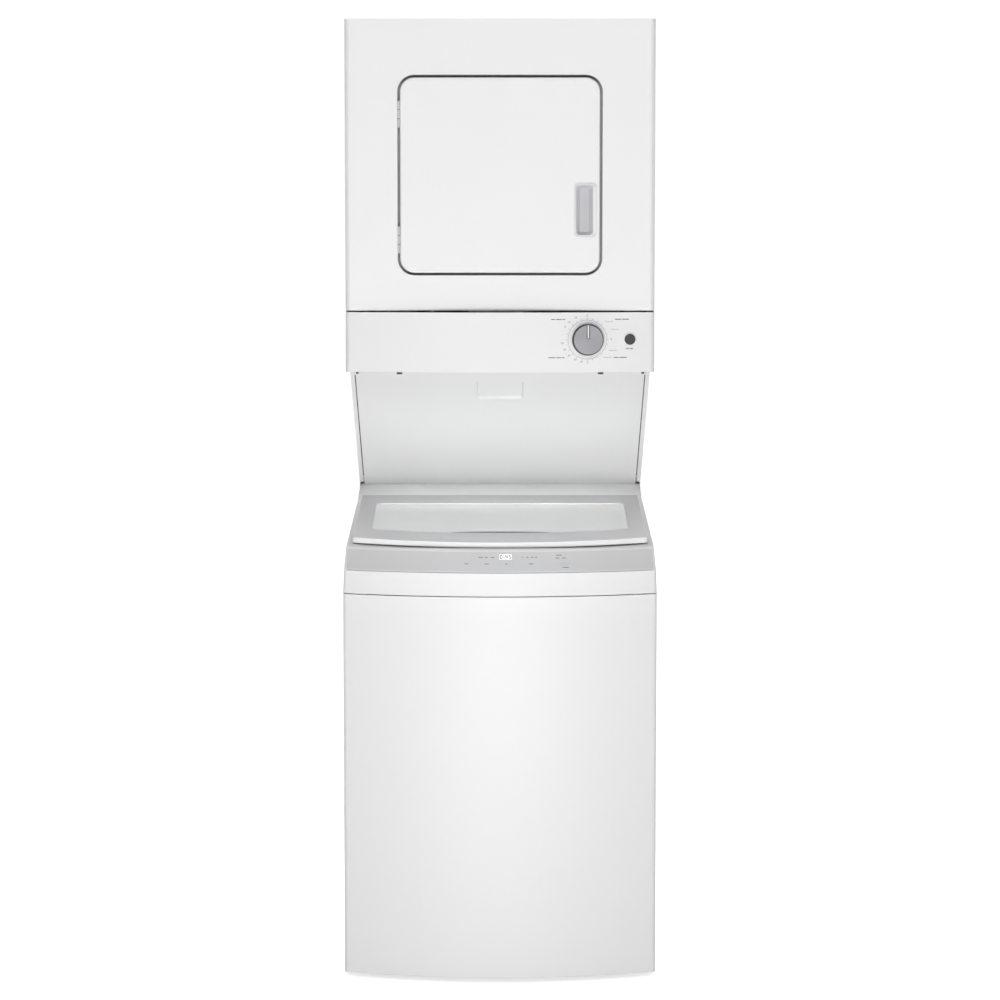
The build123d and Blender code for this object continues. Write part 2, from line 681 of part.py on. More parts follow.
# Balance ring inside the basket's rim
with BuildPart() as balance_ring:
    with BuildSketch(Plane.YZ):
        with Locations((TUB_Y + BASKET_RADIUS - SHEET - 11, BASKET_TOP_Z - 15)):
            RectangleRounded(22, 40, 5)
    revolve(axis=TUB_AXIS)
save(balance_ring, "balance_ring")

# Wash plate with four fins and its drive shaft
with BuildPart() as wash_plate:
    with BuildSketch(Plane.YZ):
        with BuildLine():
            Polyline(
                (TUB_Y, PULLEY_Z),
                (TUB_Y + DRIVE_SHAFT_RADIUS, PULLEY_Z),
                (TUB_Y + DRIVE_SHAFT_RADIUS, BASKET_BOTTOM_Z + 8),
                (TUB_Y + WASH_PLATE_RADIUS, BASKET_BOTTOM_Z + 14),
                (TUB_Y + WASH_PLATE_RADIUS, BASKET_BOTTOM_Z + 18),
                (TUB_Y + 48, BASKET_BOTTOM_Z + 26),
                (TUB_Y + 40, BASKET_BOTTOM_Z + 58),
                (TUB_Y, BASKET_BOTTOM_Z + 62),
                close=True,
            )
        make_face()
    revolve(axis=TUB_AXIS)
    with Locations((0, TUB_Y, BASKET_BOTTOM_Z + 16)):
        with PolarLocations(95, 4):
            Box(112, 12, 26, align=(Align.CENTER, Align.CENTER, Align.MIN))
save(wash_plate, "wash_plate")

# Gearcase under the tub
with BuildPart() as gearcase:
    with Locations((0, TUB_Y, TUB_BOTTOM_Z)):
        Cylinder(GEARCASE_RADIUS, GEARCASE_FLANGE, align=(Align.CENTER, Align.CENTER, Align.MAX))
        Cylinder(GEARCASE_NECK_RADIUS, GEARCASE_HEIGHT, align=(Align.CENTER, Align.CENTER, Align.MAX))
        Cylinder(
            SPIN_TUBE_RADIUS + GAP,
            GEARCASE_HEIGHT / 2,
            align=(Align.CENTER, Align.CENTER, Align.MAX),
            mode=Mode.SUBTRACT,
        )
        Cylinder(
            DRIVE_SHAFT_RADIUS + GAP,
            GEARCASE_HEIGHT + 16,
            align=(Align.CENTER, Align.CENTER, Align.MAX),
            mode=Mode.SUBTRACT,
        )
save(gearcase, "gearcase")


def grooved_pulley(radius, bore, y, z):
    """Add a pulley with two flanges and a bore, on a vertical axis."""
    with Locations((0, y, z)):
        Cylinder(radius, PULLEY_WIDTH, align=(Align.CENTER, Align.CENTER, Align.MIN))
        Cylinder(radius + 5, 3, align=(Align.CENTER, Align.CENTER, Align.MIN))
    with Locations((0, y, z + PULLEY_WIDTH - 3)):
        Cylinder(radius + 5, 3, align=(Align.CENTER, Align.CENTER, Align.MIN))
    if bore:
        with Locations((0, y, z)):
            Cylinder(bore, 3 * PULLEY_WIDTH, mode=Mode.SUBTRACT)


# Drive pulley on the wash plate's shaft
with BuildPart() as drive_pulley:
    grooved_pulley(DRIVE_PULLEY_RADIUS, DRIVE_SHAFT_RADIUS, TUB_Y, PULLEY_Z)
save(drive_pulley, "drive_pulley")

# Washer motor hung from the tub, and its pulley on a shaft
WASHER_SHAFT_RADIUS = 7.0
with BuildPart() as washer_motor:
    with Locations((0, WASHER_MOTOR_Y, TUB_BOTTOM_Z)):
        Cylinder(
            WASHER_MOTOR_RADIUS, WASHER_MOTOR_LENGTH, align=(Align.CENTER, Align.CENTER, Align.MAX)
        )
        Cylinder(
            WASHER_SHAFT_RADIUS + PIN_FIT,
            2.2 * WASHER_MOTOR_LENGTH,
            align=(Align.CENTER, Align.CENTER, Align.CENTER),
            mode=Mode.SUBTRACT,
        )
save(washer_motor, "washer_motor")

with BuildPart() as washer_motor_pulley:
    grooved_pulley(MOTOR_PULLEY_RADIUS, 0, WASHER_MOTOR_Y, PULLEY_Z)
    with Locations((0, WASHER_MOTOR_Y, PULLEY_Z)):
        Cylinder(WASHER_SHAFT_RADIUS, 90, align=(Align.CENTER, Align.CENTER, Align.MIN))
save(washer_motor_pulley, "washer_motor_pulley")


def loop(places, thick):
    """Add the outline of a belt that runs round circles at these places to the sketch."""
    with BuildSketch(mode=Mode.PRIVATE) as outer:
        for x, y, radius in places:
            with Locations((x, y)):
                Circle(radius + GAP + thick)
        make_hull()
    with BuildSketch(mode=Mode.PRIVATE) as inner:
        for x, y, radius in places:
            with Locations((x, y)):
                Circle(radius + GAP)
        make_hull()
    add(outer.sketch)
    add(inner.sketch, mode=Mode.SUBTRACT)


# Washer belt
with BuildPart() as washer_belt:
    with BuildSketch(level(PULLEY_Z + 3 + GAP)):
        loop(
            ((0, TUB_Y, DRIVE_PULLEY_RADIUS), (0, WASHER_MOTOR_Y, MOTOR_PULLEY_RADIUS)),
            BELT_THICK,
        )
    extrude(amount=PULLEY_WIDTH - 6 - 2 * GAP)
save(washer_belt, "washer_belt")

# Drain pump hung from the tub, with its outlet stub
with BuildPart() as drain_pump:
    hung = (Align.CENTER, Align.CENTER, Align.MAX)
    pump_top = TUB_BOTTOM_Z - PUMP_DROP
    with Locations((PUMP_X, TUB_Y - PUMP_SETBACK, TUB_BOTTOM_Z)):
        Cylinder(PUMP_NECK_RADIUS, PUMP_DROP + 4, align=hung)
    with Locations((PUMP_X, TUB_Y - PUMP_SETBACK, pump_top)):
        Cylinder(PUMP_RADIUS, PUMP_HEIGHT, align=hung)
        Cylinder(PUMP_MOTOR_RADIUS, PUMP_MOTOR_HEIGHT, align=hung)
    with Locations((PUMP_X, TUB_Y - PUMP_SETBACK, pump_top - PUMP_HEIGHT / 2 + 1)):
        Cylinder(PUMP_STUB_RADIUS, PUMP_STUB_LENGTH, rotation=(0, 90, 0), align=hung)
save(drain_pump, "drain_pump")

# Water inlet valve with two ports through the rear panel
VALVE_FRONT_Y = BACK_Y - SHEET - 52.0
with BuildPart() as inlet_valve:
    with Locations((sum(INLET_X) / 2, VALVE_FRONT_Y, INLET_Z)):
        Box(92, 52, 44, align=(Align.CENTER, Align.MIN, Align.CENTER))
    with BuildSketch(facing(BACK_Y - SHEET)):
        with Locations(*[(x, INLET_Z) for x in INLET_X]):
            Circle(INLET_RADIUS - 0.8)
    extrude(amount=-(SHEET + 2))
    with BuildSketch(facing(BACK_Y + 1)):
        with Locations(*[(x, INLET_Z) for x in INLET_X]):
            Circle(INLET_RADIUS)
    extrude(amount=-(INLET_REACH - 1))
    with BuildSketch(facing(BACK_Y + INLET_REACH)):
        with Locations(*[(x, INLET_Z) for x in INLET_X]):
            Circle(9)
    extrude(amount=INLET_REACH + 12, mode=Mode.SUBTRACT)
save(inlet_valve, "inlet_valve")

# Suspension struts, each a bracket on the side panel, a rod and a closed spring cup under the tub's ear
with BuildPart() as suspension_struts:
    for x in (-STRUT_X, STRUT_X):
        for y in (TUB_Y - STRUT_REACH, TUB_Y + STRUT_REACH):
            with Locations((x, y, EAR_Z)):
                Cylinder(
                    STRUT_CUP_RADIUS, STRUT_CUP_LENGTH, align=(Align.CENTER, Align.CENTER, Align.MAX)
                )
                Cylinder(
                    STRUT_ROD_RADIUS, STRUT_ROD_LENGTH, align=(Align.CENTER, Align.CENTER, Align.MIN)
                )
            side = 1 if x > 0 else -1
            outer = Align.MAX if side > 0 else Align.MIN
            with Locations((side * INSIDE, y, EAR_Z + STRUT_BRACKET_Z)):
                Box(
                    INSIDE - STRUT_X + STRUT_CUP_RADIUS,
                    STRUT_BRACKET_WIDTH,
                    5,
                    align=(outer, Align.CENTER, Align.MIN),
                )
                Box(WALL, STRUT_BRACKET_WIDTH, 40, align=(outer, Align.CENTER, Align.MAX))
save(suspension_struts, "suspension_struts")

# Rear supports that carry the dryer, two box channels behind the top cover
with BuildPart() as rear_supports:
    with BuildSketch(level(SUPPORT_FOOT_Z)):
        with Locations(*[(x, BACK_Y - SHEET - SUPPORT_DEPTH / 2) for x in (-SUPPORT_X, SUPPORT_X)]):
            Rectangle(SUPPORT_WIDTH, SUPPORT_DEPTH)
            Rectangle(SUPPORT_WIDTH - 4, SUPPORT_DEPTH - 4, mode=Mode.SUBTRACT)
    extrude(amount=PAN_Z - SUPPORT_FOOT_Z)
save(rear_supports, "rear_supports")

# Dryer side panels, cut back under the console along the slope, with a narrow edge beside the slope panel
SIDE_TOP = HEIGHT - SHEET
DRYER_SIDE_FRONT = DRYER_Y + PANEL_RETURN + GAP
for side, sign in (("left", -1), ("right", 1)):
    with BuildPart() as dryer_side:
        with BuildSketch(Plane.YZ.offset(sign * (DRYER_HALF - SHEET / 2))):
            with BuildLine():
                Polyline(
                    (DRYER_SIDE_FRONT, CONSOLE_Z),
                    (SLOPE_TOP_Y, CONSOLE_Z),
                    (NECK_FOOT_Y, NECK_FOOT_Z + GAP),
                    (COVER_BACK_Y + GAP, NECK_FOOT_Z + GAP),
                    (COVER_BACK_Y + GAP, SHOULDER_Z + GAP),
                    (BACK_Y - SHEET, SHOULDER_Z + GAP),
                    (BACK_Y - SHEET, SIDE_TOP),
                    (DRYER_SIDE_FRONT, SIDE_TOP),
                    close=True,
                )
            make_face()
        extrude(amount=SHEET / 2, both=True)
        with BuildSketch(SLOPE_PLANE):
            with Locations((sign * (DRYER_HALF - SLOPE_EDGE / 2), SLOPE_LENGTH / 2 + 2)):
                Rectangle(SLOPE_EDGE, SLOPE_LENGTH - 16)
        extrude(amount=-SHEET)
        with BuildSketch(level(PAN_Z + 40)):
            with Locations((sign * (DRYER_INSIDE - FLANGE / 2), DRYER_SIDE_FRONT + SHEET / 2)):
                Rectangle(FLANGE, SHEET)
        extrude(amount=SIDE_TOP - PAN_Z - 44)
    save(dryer_side, f"dryer_side_{side}")

# Slope panel with a pressed finger recess
SLOPE_HALF = DRYER_HALF - SLOPE_EDGE - SLOPE_SEAM
with BuildPart() as slope_panel:
    with BuildSketch(SLOPE_PLANE):
        with Locations((0, SLOPE_LENGTH / 2)):
            Rectangle(2 * SLOPE_HALF, SLOPE_LENGTH - 2 * GAP)
    extrude(amount=-SHEET)
    with BuildSketch(SLOPE_PLANE):
        with Locations((0, GRIP_AT)):
            RectangleRounded(GRIP_WIDTH + 2 * SHEET, GRIP_LENGTH + 2 * SHEET, 8)
    extrude(amount=-GRIP_DEPTH - SHEET)
    with BuildSketch(SLOPE_PLANE):
        with Locations((0, GRIP_AT)):
            RectangleRounded(GRIP_WIDTH, GRIP_LENGTH, 7)
    extrude(amount=-GRIP_DEPTH, taper=25, mode=Mode.SUBTRACT)
    with BuildSketch(SLOPE_PLANE.offset(-SHEET)):
        with Locations(*[(x, SLOPE_LENGTH / 2) for x in (-SLOPE_HALF + 3, SLOPE_HALF - 3)]):
            Rectangle(6 + 2 * SLOPE_SEAM, SLOPE_LENGTH - 60)
    extrude(amount=-SHEET)
save(slope_panel, "slope_panel")

# Bottom pan, the dryer's floor
with BuildPart() as bottom_pan:
    with BuildSketch(level(PAN_Z)):
        pan_back = BACK_Y - SHEET
        pan_mid = DRYER_SIDE_FRONT + SHEET + GAP
        with Locations((0, (pan_mid + pan_back) / 2)):
            Rectangle(2 * DRYER_INSIDE, pan_back - pan_mid)
        pan_front = DRYER_Y + CORNER
        with Locations((0, (pan_front + pan_mid) / 2)):
            Rectangle(2 * (DRYER_HALF - WALL - GAP), pan_mid - pan_front)
    extrude(amount=SHEET)
save(bottom_pan, "bottom_pan")

# Dryer top panel
with BuildPart() as dryer_top_panel:
    with BuildSketch(level(HEIGHT - SHEET)):
        with BuildLine():
            Polyline(
                (-DRYER_HALF, DRYER_Y),
                (DRYER_HALF, DRYER_Y),
                (DRYER_HALF, BACK_Y),
                (-DRYER_HALF, BACK_Y),
                close=True,
            )
        plate = make_face()
        fillet(plate.vertices().group_by(Axis.Y)[0], CORNER)
    extrude(amount=SHEET)
    with BuildSketch(level(HEIGHT - SHEET)):
        with Locations(*[(x, (DRYER_Y + BACK_Y) / 2) for x in (-DRYER_INSIDE + 1, DRYER_INSIDE - 1)]):
            Rectangle(SHEET, BACK_Y - DRYER_Y - 120)
    extrude(amount=-16)
save(dryer_top_panel, "dryer_top_panel")

# Dryer rear panel, with the exhaust hole, louvres and a closed terminal cover
EXHAUST_Z = PAN_Z + SHEET + EXHAUST_RADIUS + 1.0
REAR_LOW_Z = SHOULDER_Z + GAP
with BuildPart() as dryer_rear_panel:
    with BuildSketch(facing(BACK_Y)):
        with Locations((0, (REAR_LOW_Z + SIDE_TOP) / 2)):
            Rectangle(DRYER_WIDTH, SIDE_TOP - REAR_LOW_Z)
        with Locations((EXHAUST_X, EXHAUST_Z)):
            Circle(EXHAUST_RADIUS + 1.2, mode=Mode.SUBTRACT)
        with Locations((LOUVRE_X, DOOR_Z + LOUVRE_RISE)):
            with GridLocations(100, 22, 2, 8):
                SlotOverall(80, 8, mode=Mode.SUBTRACT)
    extrude(amount=SHEET)
    with BuildSketch(facing(BACK_Y)):
        with Locations((TERMINAL_X, PAN_Z + TERMINAL_RISE)):
            RectangleRounded(120, 90, 8)
    extrude(amount=-12)
    fillet(dryer_rear_panel.faces().sort_by(Axis.Y)[-1].edges(), 3)
save(dryer_rear_panel, "dryer_rear_panel")

# Dryer front panel with the pressed recess that the door sits in
with BuildPart() as dryer_front_panel:
    with BuildSketch(level(DRYER_FRONT_Z)):
        bowed_plan(DRYER_HALF, DRYER_Y, 0, DRYER_Y + PANEL_RETURN, CORNER)
    extrude(amount=SIDE_TOP - DRYER_FRONT_Z)
    with BuildSketch(level(DRYER_FRONT_Z)):
        bowed_plan(DRYER_INSIDE, DRYER_Y + SHEET, 0, DRYER_Y + 2 * PANEL_RETURN, CORNER - SHEET)
    extrude(amount=HEIGHT, mode=Mode.SUBTRACT)
    with BuildSketch(facing(DRYER_Y)):
        with Locations((0, DOOR_Z)):
            RectangleRounded(DOOR_WIDTH + 2 * SHEET, DOOR_HEIGHT + 2 * SHEET, DOOR_CORNER + SHEET)
    extrude(amount=-RECESS_DEPTH)
    with BuildSketch(facing(DRYER_Y)):
        with Locations((0, DOOR_Z)):
            RectangleRounded(DOOR_WIDTH, DOOR_HEIGHT, DOOR_CORNER)
    extrude(amount=-(RECESS_DEPTH - SHEET), mode=Mode.SUBTRACT)
    with BuildSketch(facing(DRYER_Y)):
        with Locations((0, DOOR_Z)):
            RectangleRounded(THROAT_WIDTH, THROAT_HEIGHT, THROAT_CORNER)
    extrude(amount=-2 * RECESS_DEPTH, mode=Mode.SUBTRACT)
save(dryer_front_panel, "dryer_front_panel")

# Dryer console, a bowed strip with a raised dial seat and a ring round the start button
with BuildPart() as dryer_console:
    with BuildSketch(level(CONSOLE_Z)):
        bowed_plan(DRYER_HALF, DRYER_Y, CONSOLE_BOW, DRYER_Y + PANEL_RETURN, CORNER)
    extrude(amount=DRYER_FRONT_Z - SEAM - CONSOLE_Z)
    with BuildSketch(level(CONSOLE_Z)):
        bowed_plan(
            DRYER_HALF - WALL, DRYER_Y + WALL, CONSOLE_BOW, DRYER_Y + 2 * PANEL_RETURN, CORNER - WALL
        )
    extrude(amount=HEIGHT, mode=Mode.SUBTRACT)
    for plane, outer, bore in (
        (KNOB_PLANE, DIAL_RADIUS, KNOB_SHAFT_RADIUS + 2),
        (START_PLANE, START_RING_RADIUS, START_RADIUS + GAP),
    ):
        with BuildSketch(plane.offset(-WALL / 2)):
            Circle(outer)
        extrude(amount=WALL / 2 + DIAL_PROUD)
        with BuildSketch(plane.offset(-2 * WALL)):
            Circle(bore)
        extrude(amount=4 * WALL, mode=Mode.SUBTRACT)
save(dryer_console, "dryer_console")

# Console clips, dark hooks under the console's lower edge
with BuildPart() as console_clips:
    for reach, width in zip(CLIP_X, CLIP_WIDTH):
        for x in (-reach, reach):
            inner_y = console_face(x, CONSOLE_Z).origin.Y + WALL
            with Locations((x, inner_y - CLIP_HOOK + 1, CONSOLE_Z)):
                Box(width, CLIP_DEPTH, CLIP_HEIGHT, align=(Align.CENTER, Align.MIN, Align.MAX))
            with Locations((x, inner_y + CLIP_HOOK + 1, CONSOLE_Z)):
                Box(width, CLIP_HOOK, PAN_Z - CONSOLE_Z, align=(Align.CENTER, Align.MIN, Align.MIN))
save(console_clips, "console_clips")

# Timer knob, a skirted cap with a pointer groove on a shaft
with BuildPart() as timer_knob:
    with BuildSketch(Plane(KNOB_PLANE.origin, x_dir=KNOB_PLANE.x_dir, z_dir=-KNOB_PLANE.y_dir)):
        with BuildLine():
            seat = DIAL_PROUD + GAP
            Polyline(
                (0, seat),
                (KNOB_SKIRT_RADIUS, seat),
                (KNOB_SKIRT_RADIUS, seat + 3),
                (KNOB_RADIUS + 1, seat + 5),
                (KNOB_RADIUS, KNOB_HEIGHT - 1.5),
                (KNOB_RADIUS - 1.5, KNOB_HEIGHT),
                (0, KNOB_HEIGHT),
                close=True,
            )
        make_face()
    revolve(axis=Axis(KNOB_PLANE.origin, KNOB_PLANE.z_dir))
    with BuildSketch(KNOB_PLANE.offset(-30)):
        Circle(KNOB_SHAFT_RADIUS)
    extrude(amount=34)
    with BuildSketch(KNOB_PLANE.offset(KNOB_HEIGHT)):
        with Locations((0, KNOB_RADIUS / 2 + 2)):
            Rectangle(GROOVE_WIDTH, KNOB_RADIUS)
    extrude(amount=-GROOVE_DEPTH, mode=Mode.SUBTRACT)
save(timer_knob, "timer_knob")

# Timer body and start switch behind the console
with BuildPart() as console_controls:
    back_face = WALL + 2 * GAP
    with BuildSketch(KNOB_PLANE.offset(-back_face)):
        Rectangle(56, 60)
        Circle(KNOB_SHAFT_RADIUS + PIN_FIT, mode=Mode.SUBTRACT)
    extrude(amount=-32)
    with BuildSketch(START_PLANE.offset(-back_face)):
        Rectangle(28, 32)
    extrude(amount=-22)
    with BuildSketch(START_PLANE.offset(-back_face)):
        Circle(START_RADIUS + GAP)
    extrude(amount=-(START_TRAVEL + 6), mode=Mode.SUBTRACT)
    with BuildSketch(START_PLANE.offset(-back_face)):
        Circle(3 + PIN_FIT)
    extrude(amount=-20, mode=Mode.SUBTRACT)
save(console_controls, "console_controls")

# Start button on a stem
with BuildPart() as start_button:
    with BuildSketch(START_PLANE.offset(-WALL - 4)):
        Circle(START_RADIUS)
    extrude(amount=START_PROUD + WALL + 4)
    fillet(start_button.edges().group_by(Axis.Y)[0], 1.2)
    with BuildSketch(START_PLANE.offset(-WALL - 4)):
        Circle(3)
    extrude(amount=-10)
save(start_button, "start_button")

# Front bulkhead, a shallow pan behind the door recess with a pocket for the lint screen
LINT_Y = BULKHEAD_Y + 19.0
LINT_TOP_Z = DOOR_Z - THROAT_HEIGHT / 2
with BuildPart() as front_bulkhead:
    with BuildSketch(facing(BULKHEAD_Y)):
        with Locations((0, DOOR_Z)):
            Circle(BULKHEAD_RADIUS)
    extrude(amount=-BULKHEAD_DEPTH)
    with BuildSketch(facing(BULKHEAD_Y + WALL)):
        with Locations((0, DOOR_Z)):
            Circle(BULKHEAD_RADIUS - WALL)
            RectangleRounded(
                THROAT_WIDTH + 6, THROAT_HEIGHT + 6, THROAT_CORNER + 3, mode=Mode.SUBTRACT
            )
        with Locations((0, LINT_TOP_Z - LINT_HEIGHT / 2)):
            Rectangle(LINT_WIDTH + 14, LINT_HEIGHT + 12, mode=Mode.SUBTRACT)
    extrude(amount=-BULKHEAD_DEPTH, mode=Mode.SUBTRACT)
    with BuildSketch(facing(BULKHEAD_Y)):
        with Locations((0, DOOR_Z)):
            RectangleRounded(THROAT_WIDTH, THROAT_HEIGHT, THROAT_CORNER)
    extrude(amount=-2 * BULKHEAD_DEPTH, mode=Mode.SUBTRACT)
    with Locations((0, LINT_Y, LINT_TOP_Z + 20)):
        Box(
            LINT_WIDTH + 2,
            10,
            LINT_HEIGHT + 20,
            align=(Align.CENTER, Align.CENTER, Align.MAX),
            mode=Mode.SUBTRACT,
        )
    drum_inside = DRUM_RADIUS - SHEET
    with BuildSketch(facing(BULKHEAD_Y + BULKHEAD_DEPTH - WALL)):
        with Locations((0, DOOR_Z)):
            Circle(BULKHEAD_RADIUS - 1)
            Circle(drum_inside - 4, mode=Mode.SUBTRACT)
    extrude(amount=-WALL)
    with BuildSketch(facing(BULKHEAD_Y + BULKHEAD_DEPTH - WALL)):
        with Locations((0, DOOR_Z)):
            Circle(drum_inside - 2 * GAP)
            Circle(drum_inside - 4, mode=Mode.SUBTRACT)
    extrude(amount=-24)
save(front_bulkhead, "front_bulkhead")

# Lint screen, a thin framed screen with a finger lip, drawn up out of its pocket
with BuildPart() as lint_screen:
    with Locations((0, LINT_Y, LINT_TOP_Z)):
        Box(LINT_WIDTH, 8, LINT_HEIGHT - GAP, align=(Align.CENTER, Align.CENTER, Align.MAX))
        Box(LINT_WIDTH, 9, 9, align=(Align.CENTER, Align.CENTER, Align.MIN))
    with Locations((0, LINT_Y, LINT_TOP_Z - LINT_HEIGHT / 2 - 2)):
        for x in (-LINT_WIDTH / 4, LINT_WIDTH / 4):
            with Locations((x, 0, 0)):
                Box(LINT_WIDTH / 2 - 12, 5, LINT_HEIGHT - 18)
                Box(LINT_WIDTH / 2 - 14, 3, LINT_HEIGHT - 20, mode=Mode.SUBTRACT)
save(lint_screen, "lint_screen")

# Rear bulkhead with the inlet grille, roller studs and the heater pan behind it
ROLLER_REACH = DRUM_RADIUS + ROLLER_RADIUS + GAP
ROLLER_X = ROLLER_REACH * sin(radians(ROLLER_ANGLE))
ROLLER_Z = DOOR_Z - ROLLER_REACH * cos(radians(ROLLER_ANGLE))
with BuildPart() as rear_bulkhead:
    with BuildSketch(facing(REAR_BULKHEAD_Y)):
        with Locations((0, DOOR_Z)):
            Circle(BULKHEAD_RADIUS)
        with Locations((0, ROLLER_Z)):
            Rectangle(2 * ROLLER_X + 50, 50)
        with Locations((EXHAUST_X, EXHAUST_Z)):
            Circle(EXHAUST_RADIUS + 1.2, mode=Mode.SUBTRACT)
    extrude(amount=-2)
    with BuildSketch(facing(REAR_BULKHEAD_Y)):
        with Locations(*[(x, ROLLER_Z) for x in (-ROLLER_X, ROLLER_X)]):
            Circle(ROLLER_STUD_RADIUS)
    extrude(amount=ROLLER_WIDTH + 6)
    with BuildSketch(facing(REAR_BULKHEAD_Y)):
        with Locations((0, DOOR_Z)):
            Circle(drum_inside - 2 * GAP)
            Circle(drum_inside - 4, mode=Mode.SUBTRACT)
    extrude(amount=10)
    with BuildSketch(facing(REAR_BULKHEAD_Y + 2)):
        with Locations((0, DOOR_Z + 20)):
            Rectangle(260, 220)
            Rectangle(256, 216, mode=Mode.SUBTRACT)
    extrude(amount=-(BACK_Y - SHEET - REAR_BULKHEAD_Y - 2))
    with BuildSketch(facing(REAR_BULKHEAD_Y)):
        with Locations((0, DOOR_Z + 20)):
            with PolarLocations(64, 12):
                Circle(8)
            with PolarLocations(34, 6):
                Circle(8)
    extrude(amount=-2, mode=Mode.SUBTRACT)
save(rear_bulkhead, "rear_bulkhead")

# Drum shell and its three baffles
with BuildPart() as drum:
    with BuildSketch(facing(DRUM_FRONT_Y)):
        with Locations((0, DOOR_Z)):
            Circle(DRUM_RADIUS)
            Circle(drum_inside, mode=Mode.SUBTRACT)
    extrude(amount=DRUM_FRONT_Y - DRUM_BACK_Y)
save(drum, "drum")

with BuildPart() as drum_baffles:
    with BuildSketch(facing(DRUM_FRONT_Y + 40)):
        with Locations((0, DOOR_Z)):
            with PolarLocations(drum_inside - BAFFLE_HEIGHT / 2 + 2, 3, start_angle=-90):
                Trapezoid(56, BAFFLE_HEIGHT, 76, rotation=90)
            Circle(drum_inside, mode=Mode.INTERSECT)
    extrude(amount=DRUM_FRONT_Y - DRUM_BACK_Y + 70)
save(drum_baffles, "drum_baffles")

# Drum rollers on the studs
for side, sign in (("left", -1), ("right", 1)):
    with BuildPart() as roller:
        with BuildSketch(facing(REAR_BULKHEAD_Y - 3)):
            with Locations((sign * ROLLER_X, ROLLER_Z)):
                Circle(ROLLER_RADIUS)
                Circle(ROLLER_STUD_RADIUS + PIN_FIT, mode=Mode.SUBTRACT)
        extrude(amount=ROLLER_WIDTH)
        chamfer(roller.edges().filter_by(lambda e: abs(e.length - 6.2832 * ROLLER_RADIUS) < 1), 1.5)
    save(roller, f"roller_{side}")

# Dryer motor on its cradle
MOTOR_FRONT_Y = BLOWER_FRONT_Y + BLOWER_WIDTH + 40.0
MOTOR_BACK_Y = DRYER_PULLEY_Y - 15.0
PAN_TOP_Z = PAN_Z + SHEET
with BuildPart() as dryer_motor:
    with BuildSketch(facing(MOTOR_FRONT_Y)):
        with Locations((DRYER_MOTOR_X, DRYER_MOTOR_Z)):
            Circle(DRYER_MOTOR_RADIUS)
        with Locations((DRYER_MOTOR_X, (PAN_TOP_Z + DRYER_MOTOR_Z) / 2)):
            Rectangle(76, DRYER_MOTOR_Z - PAN_TOP_Z)
        with Locations((DRYER_MOTOR_X, DRYER_MOTOR_Z)):
            Circle(DRYER_SHAFT_RADIUS + PIN_FIT, mode=Mode.SUBTRACT)
    extrude(amount=MOTOR_FRONT_Y - MOTOR_BACK_Y)
save(dryer_motor, "dryer_motor")

# Blower wheel, motor shaft and belt pulley, one turning piece
MOTOR_SPOT = (DRYER_MOTOR_X, DRYER_MOTOR_Z)
with BuildPart() as blower_wheel:
    with BuildSketch(facing(BLOWER_FRONT_Y + 6)):
        with Locations(MOTOR_SPOT):
            Circle(DRYER_SHAFT_RADIUS)
    extrude(amount=BLOWER_FRONT_Y + 6 - DRYER_PULLEY_Y - 20)
    with BuildSketch(facing(DRYER_PULLEY_Y)):
        with Locations(MOTOR_SPOT):
            Circle(DRYER_PULLEY_RADIUS)
    extrude(amount=-20)
    with BuildSketch(facing(BLOWER_FRONT_Y + BLOWER_WIDTH - 8)):
        with Locations(MOTOR_SPOT):
            Circle(BLOWER_RADIUS)
    extrude(amount=2)
    with BuildSketch(facing(BLOWER_FRONT_Y + BLOWER_WIDTH - 9)):
        with Locations(MOTOR_SPOT):
            with PolarLocations(BLOWER_RADIUS - 8, 16):
                Rectangle(14, 2, rotation=35)
    extrude(amount=36)
save(blower_wheel, "blower_wheel")

# Blower housing, a drum with a floor-standing outlet box, hollow and open to the duct
HOUSING_RADIUS = BLOWER_RADIUS + 8.0
HOUSING_LEFT = DRYER_MOTOR_X - HOUSING_RADIUS - 2
with BuildPart() as blower_housing:
    with BuildSketch(facing(BLOWER_FRONT_Y)):
        with Locations(MOTOR_SPOT):
            Circle(HOUSING_RADIUS)
        with Locations(((HOUSING_LEFT + DRYER_MOTOR_X) / 2, (PAN_TOP_Z + DRYER_MOTOR_Z) / 2)):
            Rectangle(DRYER_MOTOR_X - HOUSING_LEFT, DRYER_MOTOR_Z - PAN_TOP_Z)
    extrude(amount=-BLOWER_WIDTH)
    with BuildSketch(facing(BLOWER_FRONT_Y + 2)):
        with Locations(MOTOR_SPOT):
            Circle(HOUSING_RADIUS - 2)
        with Locations(((HOUSING_LEFT + DRYER_MOTOR_X) / 2 - 1, DRYER_MOTOR_Z - 33)):
            Rectangle(DRYER_MOTOR_X - HOUSING_LEFT + 2, 60)
    extrude(amount=-(BLOWER_WIDTH - 4), mode=Mode.SUBTRACT)
    with BuildSketch(facing(BLOWER_FRONT_Y)):
        with Locations(MOTOR_SPOT):
            Circle(34)
    extrude(amount=-4, mode=Mode.SUBTRACT)
    with BuildSketch(facing(BLOWER_FRONT_Y + BLOWER_WIDTH - 4)):
        with Locations(MOTOR_SPOT):
            Circle(DRYER_SHAFT_RADIUS + 1)
    extrude(amount=-8, mode=Mode.SUBTRACT)
save(blower_housing, "blower_housing")

